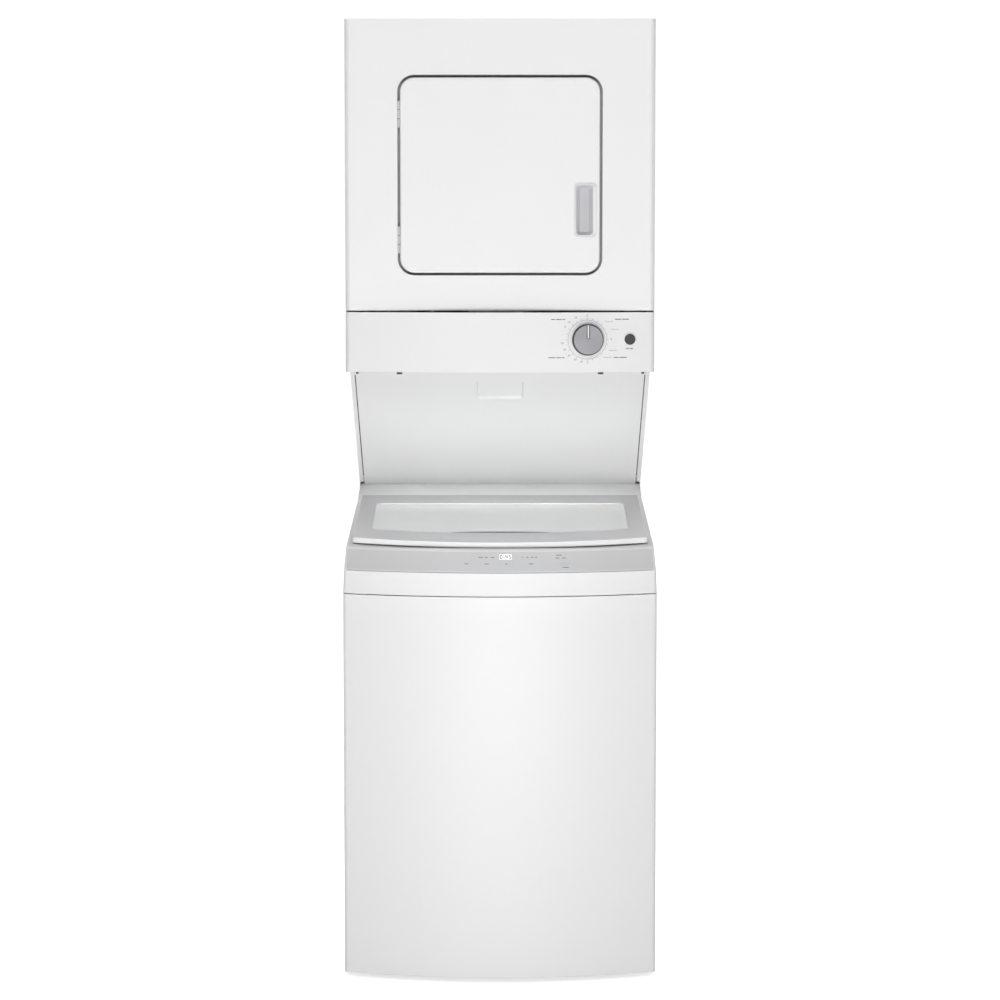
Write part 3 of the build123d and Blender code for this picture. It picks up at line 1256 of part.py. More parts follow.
# Exhaust duct, a cross duct from the blower and a round pipe out of the back
DUCT_LEFT = EXHAUST_X - EXHAUST_RADIUS - 4
DUCT_RIGHT = EXHAUST_X + EXHAUST_RADIUS + 4
DUCT_BACK_Y = BLOWER_FRONT_Y + BLOWER_WIDTH
DUCT_TOP_Z = EXHAUST_Z + EXHAUST_RADIUS + 2
with BuildPart() as exhaust_duct:
    with BuildSketch(facing(BLOWER_FRONT_Y)):
        with Locations(((DUCT_LEFT + HOUSING_LEFT) / 2, (PAN_TOP_Z + DRYER_MOTOR_Z) / 2)):
            Rectangle(HOUSING_LEFT - DUCT_LEFT, DRYER_MOTOR_Z - PAN_TOP_Z)
        with Locations((EXHAUST_X, (PAN_TOP_Z + DUCT_TOP_Z) / 2)):
            Rectangle(DUCT_RIGHT - DUCT_LEFT, DUCT_TOP_Z - PAN_TOP_Z)
    extrude(amount=-BLOWER_WIDTH)
    with BuildSketch(facing(DUCT_BACK_Y)):
        with Locations((EXHAUST_X, EXHAUST_Z)):
            Circle(EXHAUST_RADIUS - SHEET)
    extrude(amount=DUCT_BACK_Y - BACK_Y - 1)
    with BuildSketch(facing(BACK_Y + COLLAR_REACH)):
        with Locations((EXHAUST_X, EXHAUST_Z)):
            Circle(EXHAUST_RADIUS)
    extrude(amount=COLLAR_REACH - 1)
    with BuildSketch(facing(BLOWER_FRONT_Y + SHEET)):
        with Locations(
            ((DUCT_LEFT + SHEET + HOUSING_LEFT) / 2, (PAN_TOP_Z + DRYER_MOTOR_Z) / 2)
        ):
            Rectangle(HOUSING_LEFT - DUCT_LEFT - SHEET, DRYER_MOTOR_Z - PAN_TOP_Z - 2 * SHEET)
        with Locations((EXHAUST_X, (PAN_TOP_Z + DUCT_TOP_Z) / 2)):
            Rectangle(DUCT_RIGHT - DUCT_LEFT - 2 * SHEET, DUCT_TOP_Z - PAN_TOP_Z - 2 * SHEET)
    extrude(amount=-(BLOWER_WIDTH - 2 * SHEET), mode=Mode.SUBTRACT)
    with BuildSketch(facing(BACK_Y + COLLAR_REACH)):
        with Locations((EXHAUST_X, EXHAUST_Z)):
            Circle(EXHAUST_RADIUS - 2 * SHEET)
    extrude(amount=BACK_Y + COLLAR_REACH - DUCT_BACK_Y + 2 * SHEET, mode=Mode.SUBTRACT)
save(exhaust_duct, "exhaust_duct")

# Drum belt
with BuildPart() as drum_belt:
    with BuildSketch(facing(DRYER_PULLEY_Y + 4)):
        loop(
            ((0, DOOR_Z, DRUM_RADIUS), (DRYER_MOTOR_X, DRYER_MOTOR_Z, DRYER_PULLEY_RADIUS)), 2.0
        )
    extrude(amount=-12)
save(drum_belt, "drum_belt")

# Door outer panel, a shallow pan with a window for the handle
DOOR_FACE_Y = DRYER_Y - DOOR_PROUD
LEAF_WIDTH = DOOR_WIDTH - 2 * DOOR_GAP
LEAF_HEIGHT = DOOR_HEIGHT - 2 * DOOR_GAP
LEAF_CORNER = DOOR_CORNER - DOOR_GAP
with BuildPart() as door_outer:
    with BuildSketch(facing(DOOR_FACE_Y)):
        with Locations((0, DOOR_Z)):
            RectangleRounded(LEAF_WIDTH, LEAF_HEIGHT, LEAF_CORNER)
    extrude(amount=-DOOR_THICK)
    fillet(door_outer.faces().sort_by(Axis.Y)[0].edges(), DOOR_EDGE)
    with BuildSketch(facing(DOOR_FACE_Y + SHEET)):
        with Locations((0, DOOR_Z)):
            RectangleRounded(LEAF_WIDTH - 2 * SHEET, LEAF_HEIGHT - 2 * SHEET, LEAF_CORNER - SHEET)
    extrude(amount=-DOOR_THICK, mode=Mode.SUBTRACT)
    with BuildSketch(facing(DOOR_FACE_Y)):
        with Locations((HANDLE_X, HANDLE_Z)):
            RectangleRounded(HANDLE_WIDTH - 3, HANDLE_HEIGHT - 3, 7)
    extrude(amount=-DOOR_THICK, mode=Mode.SUBTRACT)
save(door_outer, "door_outer")

# Door inner panel with the hollow plug that stands in the throat
PLUG_FOOT_Y = DOOR_FACE_Y + DOOR_THICK
PLUG_WIDTH = THROAT_WIDTH - 2 * PLUG_SIDE
PLUG_HEIGHT = THROAT_HEIGHT - 2 * PLUG_SIDE
with BuildPart() as door_inner:
    with BuildSketch(facing(PLUG_FOOT_Y)):
        with Locations((0, DOOR_Z)):
            RectangleRounded(LEAF_WIDTH, LEAF_HEIGHT, LEAF_CORNER)
    extrude(amount=-SHEET)
    with BuildSketch(facing(PLUG_FOOT_Y)):
        with Locations((0, DOOR_Z)):
            RectangleRounded(PLUG_WIDTH, PLUG_HEIGHT, THROAT_CORNER - PLUG_SIDE)
    extrude(amount=-(SHEET + PLUG_DEPTH), taper=12)
    with BuildSketch(facing(PLUG_FOOT_Y)):
        with Locations((0, DOOR_Z)):
            RectangleRounded(
                PLUG_WIDTH - 2 * SHEET, PLUG_HEIGHT - 2 * SHEET, THROAT_CORNER - PLUG_SIDE - SHEET
            )
    extrude(amount=-PLUG_DEPTH, taper=12, mode=Mode.SUBTRACT)
save(door_inner, "door_inner")

# Door seal on the inner panel, facing the recess
with BuildPart() as door_seal:
    with BuildSketch(facing(PLUG_FOOT_Y + SHEET)):
        with Locations((0, DOOR_Z)):
            RectangleRounded(THROAT_WIDTH + 30, THROAT_HEIGHT + 30, THROAT_CORNER + 8)
            RectangleRounded(THROAT_WIDTH + 8, THROAT_HEIGHT + 8, THROAT_CORNER + 4, mode=Mode.SUBTRACT)
    extrude(amount=-(RECESS_Y - SHEET - PLUG_FOOT_Y - SHEET - GAP))
save(door_seal, "door_seal")

# Door handle, a flanged cup with a sloped finger pocket and a grip lip on its right
with BuildPart() as door_handle:
    with BuildSketch(facing(DOOR_FACE_Y - 1)):
        with Locations((HANDLE_X, HANDLE_Z)):
            RectangleRounded(HANDLE_WIDTH, HANDLE_HEIGHT, 8)
    extrude(amount=-1)
    fillet(door_handle.faces().sort_by(Axis.Y)[0].edges(), 0.8)
    with BuildSketch(facing(DOOR_FACE_Y)):
        with Locations((HANDLE_X, HANDLE_Z)):
            RectangleRounded(HANDLE_WIDTH - 4, HANDLE_HEIGHT - 4, 6.5)
    extrude(amount=-(HANDLE_DEPTH + 2))
    with BuildSketch(facing(DOOR_FACE_Y - 1)):
        with Locations((HANDLE_X - 2, HANDLE_Z)):
            RectangleRounded(HANDLE_WIDTH - 12, HANDLE_HEIGHT - 10, 6)
    with BuildSketch(facing(DOOR_FACE_Y + HANDLE_DEPTH)):
        with Locations((HANDLE_X - 2, HANDLE_Z)):
            RectangleRounded(HANDLE_WIDTH - 25, HANDLE_HEIGHT - 20, 4)
    loft(mode=Mode.SUBTRACT)
    with Locations((HANDLE_X + HANDLE_WIDTH / 2 - 4, DOOR_FACE_Y - 1, HANDLE_Z)):
        Box(5, 2.2, HANDLE_HEIGHT - 16, align=(Align.CENTER, Align.MAX, Align.CENTER))
save(door_handle, "door_handle")

# Door hinges: outer knuckles, leaf and pin on the cabinet, the middle knuckle and its leaf on the door
DOOR_AXIS_X = -DOOR_WIDTH / 2 + DOOR_GAP / 2
DOOR_AXIS_Y = DRYER_Y - 2.0
THIRD = DOOR_HINGE_LENGTH / 3
LEAF_BACK_Y = DRYER_Y + 14.0


def hinge_leaf(z, low, high, side):
    """Add one knuckle between two heights about z, tied to a leaf on the given side."""
    with BuildSketch(level(z + low)) as knuckle:
        with Locations((DOOR_AXIS_X, DOOR_AXIS_Y)):
            Circle(DOOR_KNUCKLE_RADIUS)
        with Locations((DOOR_AXIS_X + side * (DOOR_GAP / 2 - SHEET / 2), DOOR_AXIS_Y + 3)):
            Rectangle(SHEET, 6)
    extrude(knuckle.sketch, amount=high - low)


def leaf_plate(z, side):
    """Add the long part of a leaf, behind the knuckles."""
    front = DOOR_AXIS_Y + 3.0
    with Locations((DOOR_AXIS_X + side * (DOOR_GAP / 2 - SHEET / 2), front, z)):
        Box(SHEET, LEAF_BACK_Y - front, DOOR_HINGE_LENGTH, align=(Align.CENTER, Align.MIN, Align.CENTER))


with BuildPart() as hinge_fixed:
    for z in DOOR_HINGE_Z:
        leaf_plate(z, -1)
        hinge_leaf(z, -DOOR_HINGE_LENGTH / 2, -THIRD / 2, -1)
        hinge_leaf(z, THIRD / 2, DOOR_HINGE_LENGTH / 2, -1)
        with Locations((DOOR_AXIS_X, DOOR_AXIS_Y, z)):
            Cylinder(DOOR_PIN_RADIUS, DOOR_HINGE_LENGTH)
save(hinge_fixed, "hinge_fixed")

with BuildPart() as hinge_moving:
    for z in DOOR_HINGE_Z:
        leaf_plate(z, 1)
        hinge_leaf(z, -THIRD / 2 + GAP, THIRD / 2 - GAP, 1)
        with Locations((DOOR_AXIS_X, DOOR_AXIS_Y, z)):
            Cylinder(DOOR_PIN_RADIUS + PIN_FIT, THIRD, mode=Mode.SUBTRACT)
save(hinge_moving, "hinge_moving")
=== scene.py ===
"""Finishes, prints, small fittings and the studio of a stacked washer and dryer.

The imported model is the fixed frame, and everything here is in metres in that frame.
"""

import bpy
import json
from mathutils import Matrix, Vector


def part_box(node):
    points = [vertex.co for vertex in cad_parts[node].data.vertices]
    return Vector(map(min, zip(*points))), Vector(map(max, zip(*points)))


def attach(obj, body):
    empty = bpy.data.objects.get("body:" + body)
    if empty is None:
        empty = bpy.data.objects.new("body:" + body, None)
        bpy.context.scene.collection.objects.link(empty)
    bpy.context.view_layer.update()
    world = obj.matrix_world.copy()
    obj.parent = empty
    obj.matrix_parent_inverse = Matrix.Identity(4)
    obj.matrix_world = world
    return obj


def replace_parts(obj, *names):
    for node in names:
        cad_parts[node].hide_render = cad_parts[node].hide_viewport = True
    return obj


bl_info = {
    "name": "Washer Dryer Stack Finish",
    "version": (1, 0, 0),
    "blender": (4, 5, 0),
    "location": "View3D > Sidebar > Laundry",
    "description": "Dresses the packed washer and dryer and sets up its studio",
    "category": "Object",
}

import json
from math import asin, cos, pi, radians, sin

import bmesh
import bpy
from mathutils import Euler, Matrix, Vector

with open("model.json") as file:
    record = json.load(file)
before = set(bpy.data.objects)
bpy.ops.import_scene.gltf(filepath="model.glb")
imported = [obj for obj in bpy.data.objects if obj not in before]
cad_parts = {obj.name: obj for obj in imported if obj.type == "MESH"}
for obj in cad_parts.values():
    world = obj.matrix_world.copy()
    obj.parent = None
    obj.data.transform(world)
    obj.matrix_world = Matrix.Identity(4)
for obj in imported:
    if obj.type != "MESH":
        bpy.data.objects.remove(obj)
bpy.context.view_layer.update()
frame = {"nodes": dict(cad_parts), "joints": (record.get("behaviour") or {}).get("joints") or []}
MM = 0.001

# Curves of the cabinet that the prints follow
CONSOLE_BOW = 24 * MM
FRONT_BOW = 50 * MM
FASCIA_LOW = 785 * MM
FASCIA_RUN = 52 * MM
FASCIA_RISE = 37.5 * MM
FASCIA_SLANT = Vector((FASCIA_RUN, FASCIA_RISE)).length
DISPLAY_AT = 0.71
CONSOLE_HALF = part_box("dryer_console")[1].x
CONSOLE_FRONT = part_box("dryer_console")[0].y
CONSOLE_RADIUS = (CONSOLE_HALF**2 + CONSOLE_BOW**2) / (2 * CONSOLE_BOW)
WASHER_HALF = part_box("washer_front_panel")[1].x
WASHER_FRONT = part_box("washer_front_panel")[0].y
BOW_RADIUS = (WASHER_HALF**2 + FRONT_BOW**2) / (2 * FRONT_BOW)
BACK_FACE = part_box("dryer_side_left")[1].y + 1.2 * MM

# Places on the turning pieces
JOINTS = {joint["name"]: joint for joint in frame["joints"]}
KNOB_SPOT = Vector(JOINTS["timer_knob_turn"]["pos_m"])
KNOB_AXIS = Vector(JOINTS["timer_knob_turn"]["axis"])
KNOB_FRAME = Matrix.Translation(KNOB_SPOT) @ Matrix(
    (Vector((0, 0, 1)).cross(KNOB_AXIS), Vector((0, 0, 1)), KNOB_AXIS)
).transposed().to_4x4()
KNOB_TOP = 17 * MM
BASKET_AXIS_Y = JOINTS["basket_spin"]["pos_m"][1]
START_X = 245 * MM

PRINT = 0.12 * MM
LID_TILT = radians(6)
WINDOW_BOW = 36 * MM
SCOOP_HALF = 95 * MM
SEAL_CORNER = 68 * MM
# Share of the bezel's colour left at its back by the painted shade
BEZEL_PAINTED_SHADE = 0.66
FOOT_PAD = 8.1 * MM


def linear(code):
    """Linear colour of an sRGB hex value."""
    parts = [int(code[i : i + 2], 16) / 255 for i in (0, 2, 4)]
    return [c / 12.92 if c <= 0.04045 else ((c + 0.055) / 1.055) ** 2.4 for c in parts]


def fill(tree, made, inputs):
    """Set or link some inputs of a shader node."""
    for name, value in inputs.items():
        if isinstance(value, bpy.types.NodeSocket):
            tree.links.new(value, made.inputs[name])
        else:
            made.inputs[name].default_value = value


def node(tree, kind, inputs=None, **settings):
    """Add one shader node, set its fields and fill or link its inputs."""
    made = tree.nodes.new("ShaderNode" + kind)
    for name, value in settings.items():
        setattr(made, name, value)
    fill(tree, made, inputs or {})
    return made


def blank(name):
    """A new material, with its tree, its shader and its object coordinates."""
    made = bpy.data.materials.new(name)
    made.use_nodes = True
    tree = made.node_tree
    return made, tree, tree.nodes["Principled BSDF"], node(tree, "TexCoord").outputs["Object"]


def opened(material, axis):
    """A finish's tree, shader and base colour, and the place along one axis of the object."""
    tree = material.node_tree
    shader = tree.nodes["Principled BSDF"]
    base = shader.inputs["Base Color"].links[0].from_socket
    place = node(tree, "TexCoord").outputs["Object"]
    return tree, shader, base, node(tree, "SeparateXYZ", {0: place}).outputs[axis]


class FinishSettings(bpy.types.PropertyGroup):
    """Colours of the main finishes"""

    enamel: bpy.props.FloatVectorProperty(
        name="Enamel",
        description="Colour of the painted steel panels",
        subtype="COLOR",
        size=3,
        min=0,
        max=1,
        default=linear("EBEBEB"),
    )
    moulding: bpy.props.FloatVectorProperty(
        name="Moulding",
        description="Colour of the white plastic mouldings",
        subtype="COLOR",
        size=3,
        min=0,
        max=1,
        default=linear("E7E7E7"),
    )
    silver: bpy.props.FloatVectorProperty(
        name="Silver",
        description="Colour of the silver lacquer on the fascia",
        subtype="COLOR",
        size=3,
        min=0,
        max=1,
        default=linear("D9D9DB"),
    )
    bezel: bpy.props.FloatVectorProperty(
        name="Bezel",
        description="Colour of the silver lacquer round the lid's glass, at its front",
        subtype="COLOR",
        size=3,
        min=0,
        max=1,
        default=linear("E0E0E2"),
    )
    knob: bpy.props.FloatVectorProperty(
        name="Knob face",
        description="Colour of the spun metal face of the timer knob",
        subtype="COLOR",
        size=3,
        min=0,
        max=1,
        default=linear("8C8C8F"),
    )


class PrintSettings(bpy.types.PropertyGroup):
    """Sizes of the printed marks"""

    tick_radius: bpy.props.FloatProperty(
        name="Tick radius",
        description="Distance of the dial's ticks from the knob's axis",
        unit="LENGTH",
        min=0.037,
        default=0.0385,
    )
    tick_length: bpy.props.FloatProperty(
        name="Tick length",
        description="Length of one tick on the dial",
        unit="LENGTH",
        min=0.0005,
        default=0.002,
    )
    number_size: bpy.props.FloatProperty(
        name="Number size",
        description="Height of the type on the dial",
        unit="LENGTH",
        min=0.001,
        default=0.0052,
    )
    display: bpy.props.StringProperty(
        name="Display",
        description="Digits that the display shows, with a colon where one is wanted",
        default="0:45",
    )


class StudioSettings(bpy.types.PropertyGroup):
    """Camera and lights"""

    camera: bpy.props.FloatVectorProperty(
        name="Camera",
        description="Where the camera stands",
        subtype="TRANSLATION",
        unit="LENGTH",
        size=3,
        default=(0.0, -5.7755, 1.5),
    )
    pitch: bpy.props.FloatProperty(
        name="Pitch",
        description="How far the camera looks down",
        subtype="ANGLE",
        default=radians(5.36),
    )
    lens: bpy.props.FloatProperty(
        name="Lens",
        description="Focal length on a sensor 36 mm wide",
        subtype="DISTANCE_CAMERA",
        default=104.8,
    )
    shift: bpy.props.FloatProperty(
        name="Shift", description="Upward shift of the view, in picture widths", default=-0.0355
    )
    room: bpy.props.FloatProperty(
        name="Room", description="Brightness of the room round the stage", min=0, default=0.03
    )
    wall: bpy.props.FloatProperty(
        name="Wall", description="Brightness of the lit wall behind the stage", min=0, default=1.15
    )
    floor: bpy.props.FloatProperty(
        name="Floor", description="How far the floor is lifted towards white", min=0, default=0.72
    )
    fill: bpy.props.FloatProperty(
        name="Fill",
        description="Power of the wide soft light far in front",
        subtype="POWER",
        min=0,
        default=74.0,
    )
    high: bpy.props.FloatProperty(
        name="High",
        description="Power of the soft light above it",
        subtype="POWER",
        min=0,
        default=38.0,
    )
    lid: bpy.props.FloatProperty(
        name="Lid",
        description="Power of the slim light under the console that lifts the lid",
        subtype="POWER",
        min=0,
        default=0.18,
    )
    ledge: bpy.props.FloatProperty(
        name="Ledge",
        description="Power of the slim light under the console that lifts the ledge behind the lid",
        subtype="POWER",
        min=0,
        default=0.13,
    )
    low: bpy.props.FloatProperty(
        name="Low",
        description="Power of the slim light that lifts the fascia and the slanted panel",
        subtype="POWER",
        min=0,
        default=0.14,
    )


def surface(tree, shader, tone, rough, relief):
    """Link a tone, a roughness between two values and a relief in millimetres to a shader."""
    share, low, high = rough
    gloss = node(tree, "MapRange", {"Value": share, "To Min": low, "To Max": high})
    height, depth = relief
    bump = node(tree, "Bump", {"Height": height, "Distance": depth * MM, "Strength": 1.0})
    links = {
        "Base Color": tone.outputs[2],
        "Roughness": gloss.outputs["Result"],
        "Normal": bump.outputs["Normal"],
    }
    fill(tree, shader, links)


def finish(name, light, dark, blotch, rough, grain, height, stretch=(1, 1, 1), **sockets):
    """A solid finish in two close tones, with a roughness that follows them and a fine grain.

    light and dark are hex values or linear colours. blotch and grain are the sizes of the two
    patterns and height is the grain's depth, in millimetres.
    """
    made, tree, shader, place = blank(name)
    light, dark = (linear(tone) if isinstance(tone, str) else tone for tone in (light, dark))
    if stretch != (1, 1, 1):
        place = node(tree, "Mapping", {"Vector": place, "Scale": stretch}).outputs["Vector"]
    cloud = node(tree, "TexNoise", {"Vector": place, "Scale": 1000 / blotch, "Detail": 4.0})
    share = cloud.outputs["Fac"]
    tone = node(tree, "Mix", {0: share, 6: (*light, 1), 7: (*dark, 1)}, data_type="RGBA")
    pores = node(tree, "TexNoise", {"Vector": place, "Scale": 1000 / grain, "Detail": 3.0})
    surface(tree, shader, tone, (share, *rough), (pores.outputs["Fac"], height))
    fill(tree, shader, {name.replace("_", " "): value for name, value in sockets.items()})
    return made


def shade(colour, amount):
    """A colour darkened by a share of itself."""
    return [c * (1 - amount) for c in colour]


def dress(material, *nodes):
    """Give CAD nodes a material in place of their own."""
    for name in nodes:
        mesh = frame["nodes"][name].data
        mesh.materials.clear()
        mesh.materials.append(material)


def piece(name, bm, body, material, smooth=None):
    """Make a bmesh one object that rides on a body of the frame."""
    bmesh.ops.recalc_face_normals(bm, faces=bm.faces)
    mesh = bpy.data.meshes.new(name)
    bm.to_mesh(mesh)
    bm.free()
    mesh.materials.append(material)
    if smooth:
        mesh.shade_smooth()
        mesh.set_sharp_from_angle(angle=radians(smooth))
    made = bpy.data.objects.new(name, mesh)
    bpy.context.scene.collection.objects.link(made)
    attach(made, body)
    return made


def bar(bm, x, y, width, height, turn=0.0, low=0.0, high=PRINT):
    """Add one flat bar in the plane of a print."""
    place = Matrix.Translation((x, y, (low + high) / 2)) @ Matrix.Rotation(turn, 4, "Z")
    size = Matrix.Diagonal((width, height, high - low, 1))
    return bmesh.ops.create_cube(bm, size=1.0, matrix=place @ size)["verts"]


def soften(bm, edges, offset, segments=3):
    """Round some edges of a shape."""
    bmesh.ops.bevel(
        bm, geom=edges, offset=offset, affect="EDGES", segments=segments, profile=0.5, material=-1
    )


def pad(bm, x, y, width, height, corner):
    """Add one flat bar with round corners in the plane of a print."""
    bar(bm, x, y, width, height)
    upright = [e for e in bm.edges if abs(e.verts[0].co.z - e.verts[1].co.z) > PRINT / 2]
    soften(bm, upright, corner, 4)


def disc(bm, matrix, lower, upper, depth, segments):
    """Add a closed disc about a frame's own Z, with the radii of its two faces."""
    bmesh.ops.create_cone(
        bm,
        cap_ends=True,
        segments=segments,
        radius1=lower,
        radius2=upper,
        depth=depth,
        matrix=matrix,
    )


def thicken(bm, depth):
    """Extrude a flat sheet into a closed plate."""
    made = bmesh.ops.extrude_face_region(bm, geom=bm.faces[:])["geom"]
    moved = [item for item in made if isinstance(item, bmesh.types.BMVert)]
    bmesh.ops.translate(bm, vec=(0, 0, depth), verts=moved)


def split(bm, length, cuts):
    """Cut every edge that runs further across than a length, so that the shape can bend."""
    long = [e for e in bm.edges if abs(e.verts[0].co.x - e.verts[1].co.x) > length]
    bmesh.ops.subdivide_edges(bm, edges=long, cuts=cuts, use_grid_fill=True)


def ring(bm, centre, size, corner, width, near, far, soft=0.0):
    """Add an upright frame with round corners between two depths.

    A soft radius rounds its rear edges.
    """
    made = bmesh.new()
    bmesh.ops.create_grid(made, x_segments=1, y_segments=1, size=0.5)
    bmesh.ops.scale(made, vec=(*size, 1), verts=made.verts)
    bmesh.ops.bevel(
        made,
        geom=made.verts[:],
        offset=corner,
        affect="VERTICES",
        segments=10,
        profile=0.5,
        material=-1,
    )
    rim = bmesh.ops.inset_region(
        made, faces=made.faces[:], thickness=width, use_boundary=True, use_even_offset=True
    )
    inner = [face for face in made.faces if face not in rim["faces"]]
    bmesh.ops.delete(made, geom=inner, context="FACES")
    thicken(made, far - near)
    if soft:
        rear = [e for e in made.edges if max(v.co.z for v in e.verts) < soft / 2]
        soften(made, [e for e in rear if e.calc_face_angle(0) > 1], soft)
    lay = Matrix.Translation((centre.x, far, centre.z)) @ Matrix.Rotation(pi / 2, 4, "X")
    bmesh.ops.transform(made, matrix=lay, verts=made.verts)
    bmesh.ops.recalc_face_normals(made, faces=made.faces)
    mesh = bpy.data.meshes.new("ring")
    made.to_mesh(mesh)
    made.free()
    bm.from_mesh(mesh)
    bpy.data.meshes.remove(mesh)


def number(bm, text, x, y, size):
    """Add a number in the plane of a print, centred at a place."""
    curve = bpy.data.curves.new("type", "FONT")
    curve.body = text
    curve.size = size
    curve.align_x = "CENTER"
    curve.align_y = "CENTER"
    curve.extrude = PRINT / 2
    curve.resolution_u = 4
    holder = bpy.data.objects.new("type", curve)
    bpy.context.scene.collection.objects.link(holder)
    bpy.context.view_layer.update()
    mesh = bpy.data.meshes.new_from_object(holder)
    mesh.transform(Matrix.Translation((x, y, PRINT / 2)))
    bm.from_mesh(mesh)
    bmesh.ops.remove_doubles(bm, verts=bm.verts, dist=0.004 * MM)
    bpy.data.objects.remove(holder)
    bpy.data.curves.remove(curve)
    bpy.data.meshes.remove(mesh)


def onto_console(bm):
    """Wrap a flat print round the bowed console, about the knob's place on it."""
    for vert in bm.verts:
        angle = (KNOB_SPOT.x + vert.co.x) / CONSOLE_RADIUS
        reach = CONSOLE_RADIUS + vert.co.z
        vert.co = (
            reach * sin(angle),
            CONSOLE_FRONT + CONSOLE_RADIUS - reach * cos(angle),
            KNOB_SPOT.z + vert.co.y,
        )


def onto_fascia(bm):
    """Wrap a flat print on the sloped fascia, measured up from its lower edge."""
    for vert in bm.verts:
        share = vert.co.y / FASCIA_SLANT
        angle = vert.co.x / BOW_RADIUS
        reach = BOW_RADIUS - FASCIA_RUN * share + vert.co.z * FASCIA_RISE / FASCIA_SLANT
        height = FASCIA_LOW + FASCIA_RISE * share + vert.co.z * FASCIA_RUN / FASCIA_SLANT
        vert.co = (
            reach * sin(angle),
            WASHER_FRONT + BOW_RADIUS - reach * cos(angle),
            height,
        )


class LAUNDRY_OT_panels(bpy.types.Operator):
    """Finish the painted steel panels and the white mouldings"""

    bl_idname = "laundry.panels"
    bl_label = "White Panels"

    def execute(self, context):
        colours = context.scene.laundry_finish
        # Powder coat baked on steel: a soft gloss with a faint orange peel, drawn 8 mm wide to show
        enamel = finish(
            "white_powder_coat",
            colours.enamel,
            shade(colours.enamel, 0.02),
            420,
            (0.42, 0.5),
            8,
            0.012,
            IOR=1.5,
        )
        dress(
            enamel,
            "washer_side_left",
            "washer_side_right",
            "washer_front_panel",
            "dryer_side_left",
            "dryer_side_right",
            "slope_panel",
            "dryer_top_panel",
            "dryer_front_panel",
            "door_outer",
            "door_inner",
        )
        # Zinc hinges under the same coat, sprayed thinner: greyer and a little glossier
        zinc = finish("coated_zinc_hinge", "D3D3D5", "C6C6C9", 9, (0.32, 0.42), 1.0, 0.006)
        dress(zinc, "hinge_fixed", "hinge_moving")
        # Moulded ABS: a little darker and duller than the paint, with a fine eroded grain
        moulding = finish(
            "white_moulded_abs",
            colours.moulding,
            shade(colours.moulding, 0.025),
            260,
            (0.46, 0.56),
            2.5,
            0.01,
            IOR=1.53,
        )
        dress(moulding, "top_cover", "lid_frame", "dryer_console")
        self.shelf(moulding)
        self.handle()
        self.seams()
        return {"FINISHED"}

    def shelf(self, moulding):
        """A flat shelf that closes the bowed console's top, sunk behind its edge."""
        low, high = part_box("dryer_console")
        half, back, top = high.x - 9 * MM, low.y + 38 * MM, high.z - 2.5 * MM
        wall, thick, count = 3.1 * MM, 2.5 * MM, 24
        bm = bmesh.new()
        front, rear = [], []
        for step in range(count + 1):
            x = half * (2 * step / count - 1)
            bow = CONSOLE_RADIUS * (1 - cos(asin(x / CONSOLE_RADIUS)))
            front.append(bm.verts.new((x, low.y + wall + bow, top)))
            rear.append(bm.verts.new((x, back, top)))
        for k in range(count):
            bm.faces.new((front[k], front[k + 1], rear[k + 1], rear[k]))
        thicken(bm, -thick)
        piece("console_shelf", bm, "cabinet", moulding)

    def handle(self):
        """One moulding in three tones by depth, darker further in as painted shade: a white grip, a
        pale frame and a grey pocket.
        """
        # Moulded nylon: satin, with the pocket's floor painted a darker grey as shade
        nylon = finish("moulded_nylon_handle", "E9E9EA", "E3E3E5", 60, (0.36, 0.46), 1.5, 0.01)
        tree, shader, base, depth = opened(nylon, "Y")
        front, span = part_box("door_handle")[0].y, 20
        ends = {"Value": depth, "From Min": front, "From Max": front + span * MM}
        share = node(tree, "MapRange", ends)
        tone = node(tree, "ValToRGB", {"Fac": share.outputs["Result"]})
        tone.color_ramp.interpolation = "CONSTANT"
        tone.color_ramp.elements.new(0.5)
        # Painted shade: the tone darkens with depth into the pocket
        steps = ((0.0, "FFFFFF"), (1.9 / span, "EDEDEE"), (14.2 / span, "CACACC"))
        for stop, (place, code) in zip(tone.color_ramp.elements, steps):
            stop.position = place
            stop.color = (*linear(code), 1)
        colours = {0: 1.0, 6: base, 7: tone.outputs["Color"]}
        mixed = node(tree, "Mix", colours, data_type="RGBA", blend_type="MULTIPLY")
        fill(tree, shader, {"Base Color": mixed.outputs[2]})
        dress(nylon, "door_handle")

    def seams(self):
        """Strips of painted shade in the door's gap and beside the slanted panel, and washers
        between the hinges' knuckles.
        """
        # Extruded rubber: charcoal, matt, with a dusty bloom, for the hinges' washers and as
        # painted shade beside the slanted panel, and a pale grey grade as painted shade in the
        # door's gap
        rubber = finish("extruded_rubber", "323234", "2A2A2C", 14, (0.65, 0.8), 1.2, 0.02)
        grey = finish("door_gap_shade_grey", "B0B0B2", "A2A2A5", 14, (0.65, 0.8), 1.2, 0.02)
        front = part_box("dryer_front_panel")[0].y
        low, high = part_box("door_outer")
        gap, corner, floor = 5 * MM, 31.8 * MM, 20.7 * MM
        size = (high.x - low.x + 1.94 * gap, high.z - low.z + 1.94 * gap)
        bm = bmesh.new()
        for width, near in ((2 * gap, 18.6 * MM), (0.8 * MM, 3.5 * MM)):
            ring(bm, (low + high) / 2, size, corner, width, front + near, front + floor)
        # Painted shade: a grey strip lines the door's gap in place of the recess's shade
        piece("door_gap_painted_shade", bm, "cabinet", grey)

        bm = bmesh.new()
        joint = JOINTS["dryer_door_hinge"]["pos_m"]
        low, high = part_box("hinge_fixed")
        middle, knuckle, radius = 25 * MM, 8.5 * MM, 2.35 * MM
        for z in (low.z + middle, high.z - middle):
            for step in (-knuckle, knuckle):
                place = Matrix.Translation((joint[0], joint[1], z + step))
                disc(bm, place, radius, radius, 1.0 * MM, 24)
        piece("hinge_washers", bm, "cabinet", rubber, 40)

